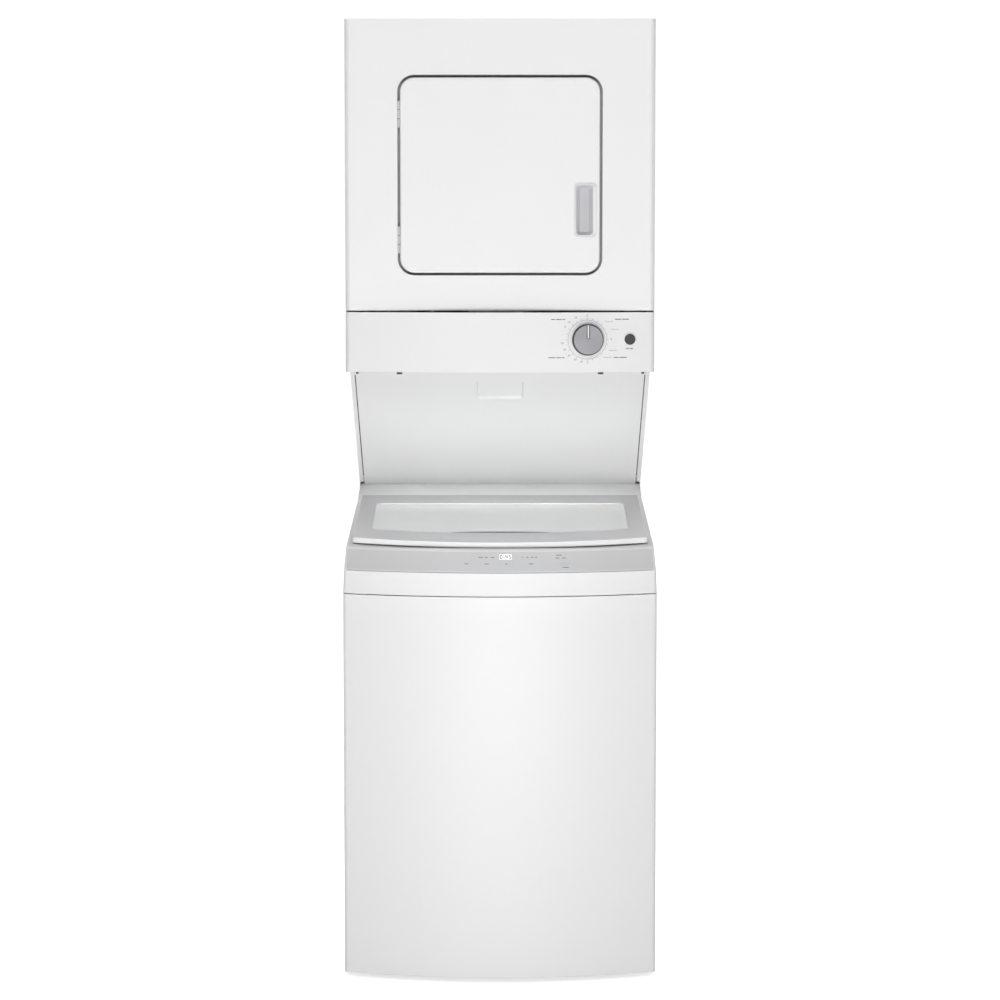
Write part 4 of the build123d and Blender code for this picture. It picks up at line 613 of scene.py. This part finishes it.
        bm = bmesh.new()
        low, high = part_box("slope_panel")
        foot = Vector((0, high.y - 0.4 * MM, low.z - 0.2 * MM))
        up = Vector((0, low.y - foot.y, high.z - foot.z)).normalized()
        out = Vector((1, 0, 0)).cross(up)
        turn = Matrix((Vector((1, 0, 0)), up, out)).transposed().to_4x4()
        length = high.z - low.z
        for x in (low.x + 1 * MM, high.x - 1 * MM):
            bar(bm, x, 0.88 * length, 1.8 * MM, 1.5 * length, 0.0, -1.25 * MM, -0.45 * MM)
        bmesh.ops.transform(bm, matrix=Matrix.Translation(foot) @ turn, verts=bm.verts)
        # Painted shade: dark bars in the seams beside the slanted panel
        piece("slope_seam_painted_shade", bm, "cabinet", rubber)


class LAUNDRY_OT_lid(bpy.types.Operator):
    """Finish the silver fascia, the lid's bezel and its glass"""

    bl_idname = "laundry.lid"
    bl_label = "Lid and Fascia"

    def execute(self, context):
        colours = context.scene.laundry_finish
        # Metallic lacquer on ABS: fine flake under a satin coat, the flake drawn about 1.5 mm wide
        for name, colour, node_name in (
            ("silver_lacquered_abs", colours.silver, "control_fascia"),
            ("bezel_lacquer_painted_shade", colours.bezel, "lid_bezel"),
        ):
            silver = finish(
                name,
                colour,
                shade(colour, 0.07),
                1.5,
                (0.4, 0.5),
                1.5,
                0.006,
                Metallic=0.08,
                Coat_Weight=0.05,
            )
            dress(silver, node_name)
        # Painted shade: the bezel's colour darkens towards its back
        self.fade(silver, "lid_bezel")
        # Toughened float glass: pale, with a faint green cast, and mirrors the panel above it
        glass = finish(
            "toughened_glass", "FBFCFB", "F4F7F6", 90, (0.03, 0.08), 30, 0.004, IOR=1.5, Alpha=0.97
        )
        dress(glass, "lid_glass")
        self.trim()
        return {"FINISHED"}

    def fade(self, material, name):
        """Darken a node's finish towards its back: painted shade."""
        tree, shader, base, depth = opened(material, "Y")
        low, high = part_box(name)
        ends = {"From Min": low.y, "From Max": high.y, "To Min": 1.0, "To Max": BEZEL_PAINTED_SHADE}
        share = node(tree, "MapRange", {"Value": depth, **ends}).outputs["Result"]
        rear_shaded = node(tree, "VectorMath", {0: base, "Scale": share}, operation="SCALE")
        fill(tree, shader, {"Base Color": rear_shaded.outputs["Vector"]})

    def trim(self):
        """A white bead behind the glass, and painted shadow in a dark scoop before it and in a line
        under the fascia.
        """
        low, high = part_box("lid_glass")
        half = high.x
        tilt = Matrix.Rotation(LID_TILT, 4, "X")
        lay = Matrix.Translation((0, high.y, high.z)) @ tilt
        bm = bmesh.new()
        bar(bm, 0, -0.5 * MM, 2 * half - 16 * MM, 5 * MM, 0.0, -0.6 * MM, 1.7 * MM)
        top = [e for e in bm.edges if all(v.co.z > 0 for v in e.verts)]
        soften(bm, top, 1 * MM)
        bmesh.ops.transform(bm, matrix=lay, verts=bm.verts)
        # Moulded white bead: glossier than the lid round it
        white = finish("white_moulded_bead", "F4F4F4", "EFEFF0", 40, (0.2, 0.3), 2, 0.006)
        piece("glass_rear_bead", bm, "lid", white, 40)

        bm = bmesh.new()
        bar(bm, 0, 0, 2 * SCOOP_HALF, 1 * MM, 0.0, 0.1 * MM, 0.35 * MM)
        split(bm, SCOOP_HALF, 23)
        reach = (high.y - low.y) / cos(LID_TILT)
        for vert in bm.verts:
            share = 1 - (vert.co.x / SCOOP_HALF) ** 2
            depth = (0.6 + 11.4 * share) * MM if vert.co.y > 0 else 0
            vert.co.y = depth - reach + 1.5 * MM + WINDOW_BOW * (vert.co.x / half) ** 2
        bmesh.ops.transform(bm, matrix=lay, verts=bm.verts)
        # Painted shadow: a dark grey, satin crescent before the glass, where the window's front
        # edge lies in shade
        front_shadow = finish("lid_front_shadow_grey", "6E6F72", "626366", 8, (0.35, 0.45), 1.0, 0.004)
        piece("lid_front_painted_shadow", bm, "lid", front_shadow)

        bm = bmesh.new()
        bar(bm, 0, 0.75 * MM, 592 * MM, 1.1 * MM)
        split(bm, 0.1, 47)
        onto_fascia(bm)
        # Painted shadow: a matt dark grey line in the shadow gap under the fascia
        seam_shadow = finish("fascia_seam_shadow_grey", "58585A", "4E4E50", 10, (0.6, 0.75), 1.0, 0.01)
        piece("fascia_seam_painted_shadow", bm, "cabinet", seam_shadow)


class LAUNDRY_OT_controls(bpy.types.Operator):
    """Finish the timer knob and the start button, and add the pointer and the dial's print"""

    bl_idname = "laundry.controls"
    bl_label = "Dryer Controls"

    def execute(self, context):
        colours = context.scene.laundry_finish
        sizes = context.scene.laundry_print
        self.knob(colours)
        # Moulded dark nylon of the button: near black, with a fine matt grain
        button = finish("dark_moulded_nylon", "3A3A3C", "343436", 20, (0.4, 0.5), 1.0, 0.01)
        dress(button, "start_button")
        # Screen ink: flat, dense and slightly uneven
        ink = finish("grey_screen_ink", "6E6E72", "66666A", 6, (0.5, 0.6), 1.0, 0.004)
        pale = finish("pale_screen_ink", "A6A6AA", "9E9EA2", 6, (0.5, 0.6), 1.0, 0.004)
        self.pointer()
        self.print_dial(sizes, ink, pale)
        return {"FINISHED"}

    def knob(self, colours):
        """One moulding in three zones: a spun metal face, a dark rim and a white skirt."""
        made, tree, shader, place = blank("spun_metal_knob")
        local = node(
            tree,
            "Mapping",
            {"Vector": place, "Location": KNOB_SPOT, "Rotation": KNOB_FRAME.to_euler()},
            vector_type="TEXTURE",
        ).outputs["Vector"]
        flat = node(tree, "VectorMath", {0: local, 1: (1, 1, 0)}, operation="MULTIPLY")
        reach = node(tree, "VectorMath", {0: flat.outputs["Vector"]}, operation="LENGTH")
        reach, span = reach.outputs["Value"], 40
        zone = node(tree, "MapRange", {"Value": reach, "From Max": span * MM}).outputs["Result"]
        paint = node(tree, "ValToRGB", {"Fac": zone})
        metal = node(tree, "ValToRGB", {"Fac": zone})
        zones = (
            (0.0, colours.knob, 0.4),
            (27.3 / span, linear("2E2E30"), 0.1),
            (29.9 / span, linear("E6E6E7"), 0.0),
        )
        for ramp, column in ((paint, 1), (metal, 2)):
            ramp.color_ramp.interpolation = "CONSTANT"
            while len(ramp.color_ramp.elements) < len(zones):
                ramp.color_ramp.elements.new(0.5)
            for stop, row in zip(ramp.color_ramp.elements, zones):
                stop.position = row[0]
                value = row[column]
                stop.color = (*value, 1) if column == 1 else (value, value, value, 1)
        # Spun grooves about 0.2 mm apart, drawn at 1 mm so they show
        grooves = node(
            tree,
            "TexWave",
            {"Vector": local, "Scale": 2 * pi / (20 * MM), "Distortion": 0.0},
            wave_type="RINGS",
            rings_direction="Z",
        )
        fine = node(tree, "TexNoise", {"Vector": local, "Scale": 1000 / 0.8, "Detail": 3.0})
        # Painted shade: the pointer's groove is coloured dark round its white inlay, 6 mm wide,
        # from the middle to the rim
        spot = node(tree, "SeparateXYZ", {0: local}).outputs
        aside = self.calc(tree, "ABSOLUTE", spot["X"])
        narrow = self.calc(tree, "LESS_THAN", aside, 3.1 * MM)
        upper = self.calc(tree, "GREATER_THAN", spot["Y"], 1.9 * MM)
        face = self.calc(tree, "LESS_THAN", reach, 27.4 * MM)
        groove = self.calc(tree, "MULTIPLY", self.calc(tree, "MULTIPLY", narrow, upper), face)
        # Painted shade: dark colour in the pointer's groove
        tones = {0: groove, 6: paint.outputs["Color"], 7: (*linear("2A2A2C"), 1)}
        painted = node(tree, "Mix", tones, data_type="RGBA")
        bare = self.calc(tree, "SUBTRACT", 1.0, groove)
        shine = self.calc(tree, "MULTIPLY", bare, metal.outputs["Color"])
        rough = (fine.outputs["Fac"], 0.3, 0.42)
        surface(tree, shader, painted, rough, (grooves.outputs["Fac"], 0.02))
        fill(tree, shader, {"Metallic": shine})
        dress(made, "timer_knob")

    def calc(self, tree, operation, *values):
        """The result of one step of arithmetic on sockets or numbers."""
        return node(tree, "Math", dict(enumerate(values)), operation=operation).outputs["Value"]

    def pointer(self):
        """A white inlay in the knob's groove, and a grey ring of painted shade round the dial's
        seat.
        """
        bm = bmesh.new()
        bar(bm, 0, 15.4 * MM, 2.8 * MM, 25 * MM, 0.0, KNOB_TOP - 0.98 * MM, KNOB_TOP - 0.2 * MM)
        top = [e for e in bm.edges if all(v.co.z > KNOB_TOP - 0.5 * MM for v in e.verts)]
        soften(bm, top, 0.3 * MM)
        bmesh.ops.transform(bm, matrix=KNOB_FRAME, verts=bm.verts)
        # Hard white acetal: clean, slightly waxy
        white = finish("white_acetal", "F2F2F2", "EBEBEB", 8, (0.3, 0.4), 0.8, 0.004, IOR=1.48)
        piece("knob_pointer", bm, "knob", white)

        bm = bmesh.new()
        corners = ((36.2, 1.1), (36.2, 1.5), (37.2, 1.5), (37.2, 0.2))
        section = [bm.verts.new((radius * MM, 0, height * MM)) for radius, height in corners]
        edges = [bm.edges.new((section[k - 1], section[k])) for k in range(len(section))]
        bmesh.ops.spin(
            bm,
            geom=section + edges,
            axis=(0, 0, 1),
            cent=(0, 0, 0),
            angle=2 * pi,
            steps=96,
            use_merge=True,
        )
        bmesh.ops.transform(bm, matrix=KNOB_FRAME, verts=bm.verts)
        # Painted shade: a grey satin ring where the seat's step lies in shade, a fine line from a
        # step away
        grey = finish("dial_seat_shade_grey", "B9B9BB", "B0B0B3", 10, (0.4, 0.5), 1.0, 0.006)
        piece("dial_seat_painted_shade", bm, "cabinet", grey, 35)

    def print_dial(self, sizes, ink, pale):
        """Ticks and numbers round the dial, and plain bars beside it."""
        bm = bmesh.new()
        for angle in range(0, 360, 15):
            turn = radians(angle)
            reach = sizes.tick_radius + sizes.tick_length / 2
            bar(bm, reach * sin(turn), reach * cos(turn), 0.7 * MM, sizes.tick_length, -turn)
        onto_console(bm)
        piece("dial_ticks", bm, "cabinet", ink)

        bm = bmesh.new()
        marks = (
            ("0", 0, 45),
            ("20", -22, 41.5),
            ("10", -34.5, 32.5),
            ("0", -42, 24),
            ("50", -47, -7),
            ("40", -43, -19),
            ("30", -34.5, -30),
            ("20", -23, -37.5),
            ("10", -11.5, -42),
            ("0", 1, -43.5),
            ("0", 46, 1),
        )
        for text, x, y in marks:
            number(bm, text, x * MM, y * MM, sizes.number_size)
        onto_console(bm)
        piece("dial_numbers", bm, "cabinet", ink)

        bm = bmesh.new()
        for x, y in ((35.5, 33.4), (46.5, 19), (43, -21), (33, -34)):
            bar(bm, (x + 3) * MM, y * MM, 9 * MM, 0.9 * MM)
            bar(bm, (x + 11) * MM, y * MM, 5 * MM, 0.9 * MM)
        onto_console(bm)
        piece("dial_level_bars", bm, "cabinet", pale)

        bm = bmesh.new()
        space = 1.6
        for x, y, lengths in (
            (-55, 38, (7, 11, 5)),
            (66, 38, (12, 13)),
            (-58, -34, (13, 9, 5)),
            (63, -34, (9, 14)),
            (START_X / MM - KNOB_SPOT.x / MM, -17.5, (6, 6)),
        ):
            start = x - (sum(lengths) + space * (len(lengths) - 1)) / 2
            for length in lengths:
                bar(bm, (start + length / 2) * MM, y * MM, length * MM, 1.7 * MM)
                start += length + space
        onto_console(bm)
        piece("dial_section_bars", bm, "cabinet", ink)


class LAUNDRY_OT_display(bpy.types.Operator):
    """Light the display, draw its digits and print the fascia's plain marks"""

    bl_idname = "laundry.display"
    bl_label = "Washer Display"

    def execute(self, context):
        # Acrylic window: the fascia's silver printed behind a clear sheet
        window = finish(
            "silver_backed_acrylic", "D9D9DB", "CFCFD1", 1.5, (0.4, 0.5), 1.0, 0.002, IOR=1.49
        )
        dress(window, "display_window")
        # Backlit diffuser: a milky white panel that glows a little
        panel = finish(
            "backlit_diffuser",
            "F4F6F6",
            "ECEFF0",
            8,
            (0.25, 0.35),
            1.0,
            0.002,
            IOR=1.49,
            Emission_Color=(1, 1, 1, 1),
            Emission_Strength=0.45,
        )
        bm = bmesh.new()
        pad(bm, 0, 0, 24.5 * MM, 14.5 * MM, 1.5 * MM)
        self.onto_window(bm)
        piece("display_light", bm, "cabinet", panel)
        # Liquid crystal segments: a flat cool grey
        crystal = finish("liquid_crystal", "76797E", "6C6F74", 5, (0.35, 0.45), 1.0, 0.002)
        self.digits(context.scene.laundry_print.display, crystal)
        # Screen ink on the lacquer: mid grey and flat
        ink = finish("fascia_ink", "8B8C8F", "838488", 6, (0.45, 0.55), 1.0, 0.004)
        self.marks(ink)
        return {"FINISHED"}

    def digits(self, text, material):
        """Seven-segment digits on the lit display."""
        lit = {
            "0": "abcdef", "1": "bc", "2": "abged", "3": "abgcd", "4": "fgbc", "5": "afgcd",
            "6": "afgedc", "7": "abc", "8": "abcdefg", "9": "abcdfg",
        }
        high, wide, thick, gap = 11 * MM, 5.2 * MM, 1.7 * MM, 2.0 * MM
        runs = {
            "a": (0, 1, 0), "g": (0, 0, 0), "d": (0, -1, 0),
            "b": (1, 0.5, 1), "c": (1, -0.5, 1), "f": (-1, 0.5, 1), "e": (-1, -0.5, 1),
        }
        advance = [1.0 * MM if sign == ":" else wide for sign in text]
        at = -(sum(advance) + gap * (len(text) - 1)) / 2
        bm = bmesh.new()
        for sign, width in zip(text, advance):
            middle = at + width / 2
            if sign == ":":
                for y in (-high / 5, high / 5):
                    bar(bm, middle, y, thick, thick)
            for run in lit.get(sign, ""):
                x, y, upright = runs[run]
                size = (thick, high / 2 - thick) if upright else (wide - thick, thick)
                bar(bm, middle + x * (wide - thick) / 2, y * (high - thick) / 2, *size)
            at += width + gap
        bmesh.ops.translate(bm, vec=(0, 0, PRINT), verts=bm.verts)
        self.onto_window(bm)
        piece("display_digits", bm, "cabinet", material)

    def onto_window(self, bm):
        """Wrap a flat print on the fascia above the display's window, in line with it."""
        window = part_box("display_window")
        across = (window[0].x + window[1].x) / 2
        bmesh.ops.translate(bm, vec=(across, FASCIA_SLANT * DISPLAY_AT, 0.04 * MM), verts=bm.verts)
        onto_fascia(bm)

    def marks(self, ink):
        """Plain bars where the touch pads are, and a paler pad on the right."""
        bm = bmesh.new()
        upper, lower = 44 * MM, 26 * MM
        for x, width, y in (
            (-38, 9, upper), (-27, 6, upper), (-15, 7, upper),
            (44, 2.5, upper), (54, 4, upper), (63, 5, upper), (71, 4, upper),
            (117, 12, upper + 5 * MM), (113, 8, upper - 3 * MM), (126, 8, upper - 3 * MM),
            (-65, 7, lower), (-26, 8, lower), (12, 4, lower), (60, 8, lower),
            (126, 12, lower - 11 * MM),
        ):
            bar(bm, x * MM, y, width * MM, 2.2 * MM)
        onto_fascia(bm)
        piece("fascia_marks", bm, "cabinet", ink)
        bm = bmesh.new()
        pad(bm, 126 * MM, lower - 2 * MM, 19 * MM, 9 * MM, 2 * MM)
        onto_fascia(bm)
        # Printed pad: a paler silver than the fascia round it
        pale = finish("pale_silver_ink", "D2D3D5", "CBCCCE", 6, (0.4, 0.5), 1.0, 0.004)
        piece("start_pad", bm, "cabinet", pale)


class LAUNDRY_OT_washer_inside(bpy.types.Operator):
    """Finish the tub, the basket and the drive under them"""

    bl_idname = "laundry.washer_inside"
    bl_label = "Washer Inside"

    def execute(self, context):
        # Filled polypropylene: a chalky off-white moulding
        tub = finish("filled_polypropylene", "D9DBDC", "CFD2D4", 70, (0.5, 0.62), 3, 0.02)
        dress(tub, "outer_tub", "tub_ring", "balance_ring")
        # Polypropylene of the wash plate, the pump and the valve: cool grey
        plate = finish("grey_polypropylene", "A9AEB4", "9CA2A8", 50, (0.4, 0.5), 2, 0.02)
        dress(plate, "wash_plate", "drain_pump", "inlet_valve")
        # Brushed stainless sheet: streaks round the basket, drawn a few millimetres long
        steel = finish(
            "brushed_stainless",
            "C9C9C8",
            "B4B4B4",
            6,
            (0.22, 0.36),
            3,
            0.01,
            stretch=(1, 1, 8),
            Metallic=1.0,
        )
        dress(steel, "basket")
        self.holes()
        # Cast aluminium: grainy, pale and dull
        cast = finish(
            "cast_aluminium", "B9BABB", "A2A3A5", 12, (0.45, 0.6), 2.5, 0.06, Metallic=1.0
        )
        dress(cast, "gearcase", "drive_pulley", "washer_motor_pulley")
        # Stoved black paint on the motor shells: satin with a slight ripple
        stoved = finish("stoved_black_paint", "232325", "1C1C1E", 30, (0.35, 0.5), 4, 0.03)
        dress(stoved, "washer_motor", "dryer_motor")
        # Vulcanised rubber: matt black with a dusty bloom
        rubber = finish("vulcanised_rubber", "222223", "2B2B2C", 14, (0.7, 0.85), 1.2, 0.03)
        dress(rubber, "washer_belt", "drum_belt", "roller_left", "roller_right")
        # Levelling foot: a rubber pad 8 mm thick under a zinc-plated stud and nut
        foot = finish("rubber_and_zinc_foot", "222223", "2B2B2C", 14, (0.5, 0.7), 1.2, 0.02)
        tree, shader, base, height = opened(foot, "Z")
        stud = node(tree, "Math", {0: height, 1: FOOT_PAD}, operation="GREATER_THAN")
        stud = stud.outputs["Value"]
        mixed = node(tree, "Mix", {0: stud, 6: base, 7: (*linear("B4B6B9"), 1)}, data_type="RGBA")
        fill(tree, shader, {"Base Color": mixed.outputs[2], "Metallic": stud})
        dress(foot, "foot_front_left", "foot_front_right", "foot_rear_left", "foot_rear_right")
        return {"FINISHED"}

    def holes(self):
        """Rows of drain holes drawn as dark dimples in the basket's wall, painted with the shade
        seen through them.
        """
        low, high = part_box("basket")
        radius = (high.x - low.x) / 2 - 1.3 * MM
        bm = bmesh.new()
        rows, columns, first, pitch = 9, 36, 132, 24
        for row in range(rows):
            for column in range(columns):
                angle = 2 * pi * (column + row % 2 / 2) / columns
                place = (
                    Matrix.Translation((0, BASKET_AXIS_Y, low.z + (first + pitch * row) * MM))
                    @ Matrix.Rotation(angle, 4, "Z")
                    @ Matrix.Translation((radius, 0, 0))
                    @ Matrix.Rotation(-pi / 2, 4, "Y")
                )
                disc(bm, place, 2.6 * MM, 2.2 * MM, 0.5 * MM, 10)
        # Painted shade: an open punched hole shows the shade behind the sheet
        dark = finish("punched_hole_painted_shade", "1B1C1D", "232425", 5, (0.6, 0.8), 1.0, 0.01)
        piece("basket_holes", bm, "basket", dark)


class LAUNDRY_OT_dryer_inside(bpy.types.Operator):
    """Finish the drum, its bulkheads and the air path"""

    bl_idname = "laundry.dryer_inside"
    bl_label = "Dryer Inside"

    def execute(self, context):
        # Baked drum enamel: pale grey, hard and glossy
        drum = finish("drum_enamel", "D3D5D6", "C8CBCD", 60, (0.3, 0.42), 6, 0.015)
        dress(drum, "drum", "drum_baffles", "front_bulkhead")
        self.galvanised()
        # Wool felt of the seal: soft, grey and fibrous
        felt = finish(
            "grey_wool_felt", "8C8C8E", "737376", 3, (0.85, 0.95), 0.8, 0.12, Sheen_Weight=0.3
        )
        low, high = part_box("door_seal")
        size = (high.x - low.x, high.z - low.z)
        bm = bmesh.new()
        ring(bm, (low + high) / 2, size, SEAL_CORNER, 11 * MM, low.y, high.y, 1.6 * MM)
        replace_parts(piece("door_felt", bm, "door", felt, 50), "door_seal")
        # Moulded polypropylene of the blower and the switches: mid grey and matt
        blower = finish("mid_grey_polypropylene", "7C7E81", "707276", 30, (0.45, 0.55), 2, 0.02)
        dress(blower, "blower_wheel", "blower_housing", "console_controls", "lint_screen")
        # Moulded nylon of the clips: black, with a fine matt grain
        dark = finish("black_nylon", "29292B", "202022", 12, (0.45, 0.55), 1.2, 0.02)
        dress(dark, "console_clips")
        # Zinc plated steel: bright, bluish and slightly cloudy
        zinc = finish(
            "zinc_plated_steel", "C3C6CA", "A8ACB2", 10, (0.25, 0.4), 1.5, 0.01, Metallic=1.0
        )
        dress(zinc, "lid_hinge_brackets", "suspension_struts")
        self.screws(zinc)
        return {"FINISHED"}

    def galvanised(self):
        """Hot-dipped sheet: a spangle of crystals about 9 mm across, each with its own grey."""
        made, tree, shader, place = blank("galvanised_sheet")
        spangle = node(tree, "TexVoronoi", {"Vector": place, "Scale": 1000 / 9, "Randomness": 1.0})
        grey = node(tree, "SeparateColor", {"Color": spangle.outputs["Color"]}).outputs["Red"]
        tones = {0: grey, 6: (*linear("BFC2C4"), 1), 7: (*linear("A5A9AC"), 1)}
        tone = node(tree, "Mix", tones, data_type="RGBA")
        surface(tree, shader, tone, (grey, 0.34, 0.5), (spangle.outputs["Distance"], 0.01))
        fill(tree, shader, {"Metallic": 1.0})
        dress(
            made,
            "base_frame",
            "washer_rear_panel",
            "rear_supports",
            "bottom_pan",
            "dryer_rear_panel",
            "rear_bulkhead",
            "exhaust_duct",
        )

    def screws(self, zinc):
        """Hex washer head screws along the edges of the two rear panels."""
        panels = (
            (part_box("washer_rear_panel"), (0.04, 0.35, 0.65, 0.96)),
            (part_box("dryer_rear_panel"), (0.05, 0.28, 0.5, 0.72, 0.97)),
        )
        inset = 8 * MM
        spots = []
        for (low, high), shares in panels:
            for x in (low.x + inset, high.x - inset):
                spots += [(x, low.z + share * (high.z - low.z)) for share in shares]
        # Two more hold the top of the dryer's panel
        spots += [(x * MM, high.z - 12 * MM) for x in (-110, 110)]
        bm = bmesh.new()
        lay = Matrix.Rotation(-pi / 2, 4, "X")
        for x, z in spots:
            seat = Matrix.Translation((x, BACK_FACE, z)) @ lay
            washer, head = (seat @ Matrix.Translation((0, 0, up * MM)) for up in (0.6, 2.9))
            disc(bm, washer, 5.2 * MM, 4.7 * MM, 1.2 * MM, 20)
            disc(bm, head, 3.7 * MM, 3.4 * MM, 3.4 * MM, 6)
        piece("rear_screws", bm, "cabinet", zinc)


class LAUNDRY_OT_stage(bpy.types.Operator):
    """Set up the floor, the lights and the camera"""

    bl_idname = "laundry.stage"
    bl_label = "Studio"

    def execute(self, context):
        scene = context.scene
        studio = scene.laundry_studio
        self.floor(studio.floor)
        self.room(studio)
        self.lamp("fill", (0.0, -4.2, 0.3), (0.0, 0.0, 0.3), 1.6, 0.5, studio.fill)
        self.lamp("high", (0.0, -3.4, 2.85), (0.0, 0.0, 0.95), 1.6, 0.6, studio.high)
        self.lamp("lid", (0.0, -0.27, 1.14), (0.0, -0.25, 0.84), 0.56, 0.03, studio.lid, 120)
        self.lamp("ledge", (0.0, -0.22, 1.135), (0.0, 0.2, 0.88), 0.56, 0.03, studio.ledge, 40)
        self.lamp("low", (0.0, -0.8, 0.78), (0.0, 0.1, 1.0), 1.0, 0.08, studio.low, 45)

        camera = bpy.data.objects.new("camera", bpy.data.cameras.new("camera"))
        camera.location = studio.camera
        camera.rotation_euler = Euler((pi / 2 - studio.pitch, 0, 0))
        camera.data.lens = studio.lens
        camera.data.sensor_width = 36.0
        camera.data.shift_y = studio.shift
        scene.collection.objects.link(camera)
        scene.camera = camera
        scene.view_settings.view_transform = "Standard"
        return {"FINISHED"}

    def floor(self, glow):
        """A wide pale floor, lifted towards the white of the room where the camera sees it."""
        bm = bmesh.new()
        bmesh.ops.create_grid(bm, x_segments=1, y_segments=1, size=9.0)
        mesh = bpy.data.meshes.new("floor")
        bm.to_mesh(mesh)
        bm.free()
        # Painted studio floor: matt white and a touch uneven
        paint = finish("white_studio_floor", "F4F4F4", "F1F1F1", 900, (0.7, 0.8), 20, 0.02)
        tree = paint.node_tree
        seen = node(tree, "LightPath").outputs["Is Camera Ray"]
        light = node(tree, "Math", {0: seen, 1: glow}, operation="MULTIPLY")
        glowing = {"Emission Color": (1, 1, 1, 1), "Emission Strength": light.outputs["Value"]}
        fill(tree, tree.nodes["Principled BSDF"], glowing)
        mesh.materials.append(paint)
        made = bpy.data.objects.new("floor", mesh)
        bpy.context.scene.collection.objects.link(made)

    def room(self, studio):
        """A lit wall behind the stack and a dim room in front, white where the camera sees it."""
        world = bpy.data.worlds.new("studio_room")
        world.use_nodes = True
        tree = world.node_tree
        place = node(tree, "TexCoord").outputs["Generated"]
        aim = node(tree, "SeparateXYZ", {0: place}).outputs["Y"]
        ends = {"From Min": 0.0, "From Max": 0.3, "To Min": studio.room, "To Max": studio.wall}
        wall = node(tree, "MapRange", {"Value": aim, **ends}).outputs["Result"]
        seen = node(tree, "LightPath").outputs["Is Camera Ray"]
        strength = node(tree, "Mix", {0: seen, 2: wall, 3: 1.05}).outputs[0]
        back = tree.nodes["Background"]
        fill(tree, back, {"Color": (1, 1, 1, 1), "Strength": strength})
        bpy.context.scene.world = world

    def lamp(self, name, place, target, width, height, power, spread=180):
        """A rectangular soft light turned to a target, with its beam's spread in degrees."""
        data = bpy.data.lights.new(name, "AREA")
        data.shape = "RECTANGLE"
        data.size = width
        data.size_y = height
        data.energy = power
        data.spread = radians(spread)
        made = bpy.data.objects.new(name, data)
        made.location = place
        aim = Vector(target) - Vector(place)
        made.rotation_euler = aim.to_track_quat("-Z", "Y").to_euler()
        bpy.context.scene.collection.objects.link(made)


class LAUNDRY_PT_sidebar(bpy.types.Panel):
    """Settings and steps of the stack"""

    bl_idname = "LAUNDRY_PT_sidebar"
    bl_label = "Washer and Dryer"
    bl_space_type = "VIEW_3D"
    bl_region_type = "UI"
    bl_category = "Laundry"

    def draw(self, context):
        for name in SETTINGS:
            settings = getattr(context.scene, name)
            box = self.layout.box()
            for field in settings.__annotations__:
                box.prop(settings, field)
        for step in STEPS:
            self.layout.operator(step.bl_idname)


SETTINGS = {
    "laundry_finish": FinishSettings,
    "laundry_print": PrintSettings,
    "laundry_studio": StudioSettings,
}
STEPS = (
    LAUNDRY_OT_panels,
    LAUNDRY_OT_lid,
    LAUNDRY_OT_controls,
    LAUNDRY_OT_display,
    LAUNDRY_OT_washer_inside,
    LAUNDRY_OT_dryer_inside,
    LAUNDRY_OT_stage,
)


def register():
    """Add the classes and the scene's settings."""
    for kind in (*SETTINGS.values(), *STEPS, LAUNDRY_PT_sidebar):
        bpy.utils.register_class(kind)
    for name, kind in SETTINGS.items():
        setattr(bpy.types.Scene, name, bpy.props.PointerProperty(type=kind))


def unregister():
    """Take them away again."""
    for name in SETTINGS:
        delattr(bpy.types.Scene, name)
    for kind in reversed((*SETTINGS.values(), *STEPS, LAUNDRY_PT_sidebar)):
        bpy.utils.unregister_class(kind)


def main():
    """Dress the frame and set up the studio."""
    register()
    for step in STEPS:
        group, name = step.bl_idname.split(".")
        getattr(getattr(bpy.ops, group), name)()


if __name__ == "__main__":
    main()
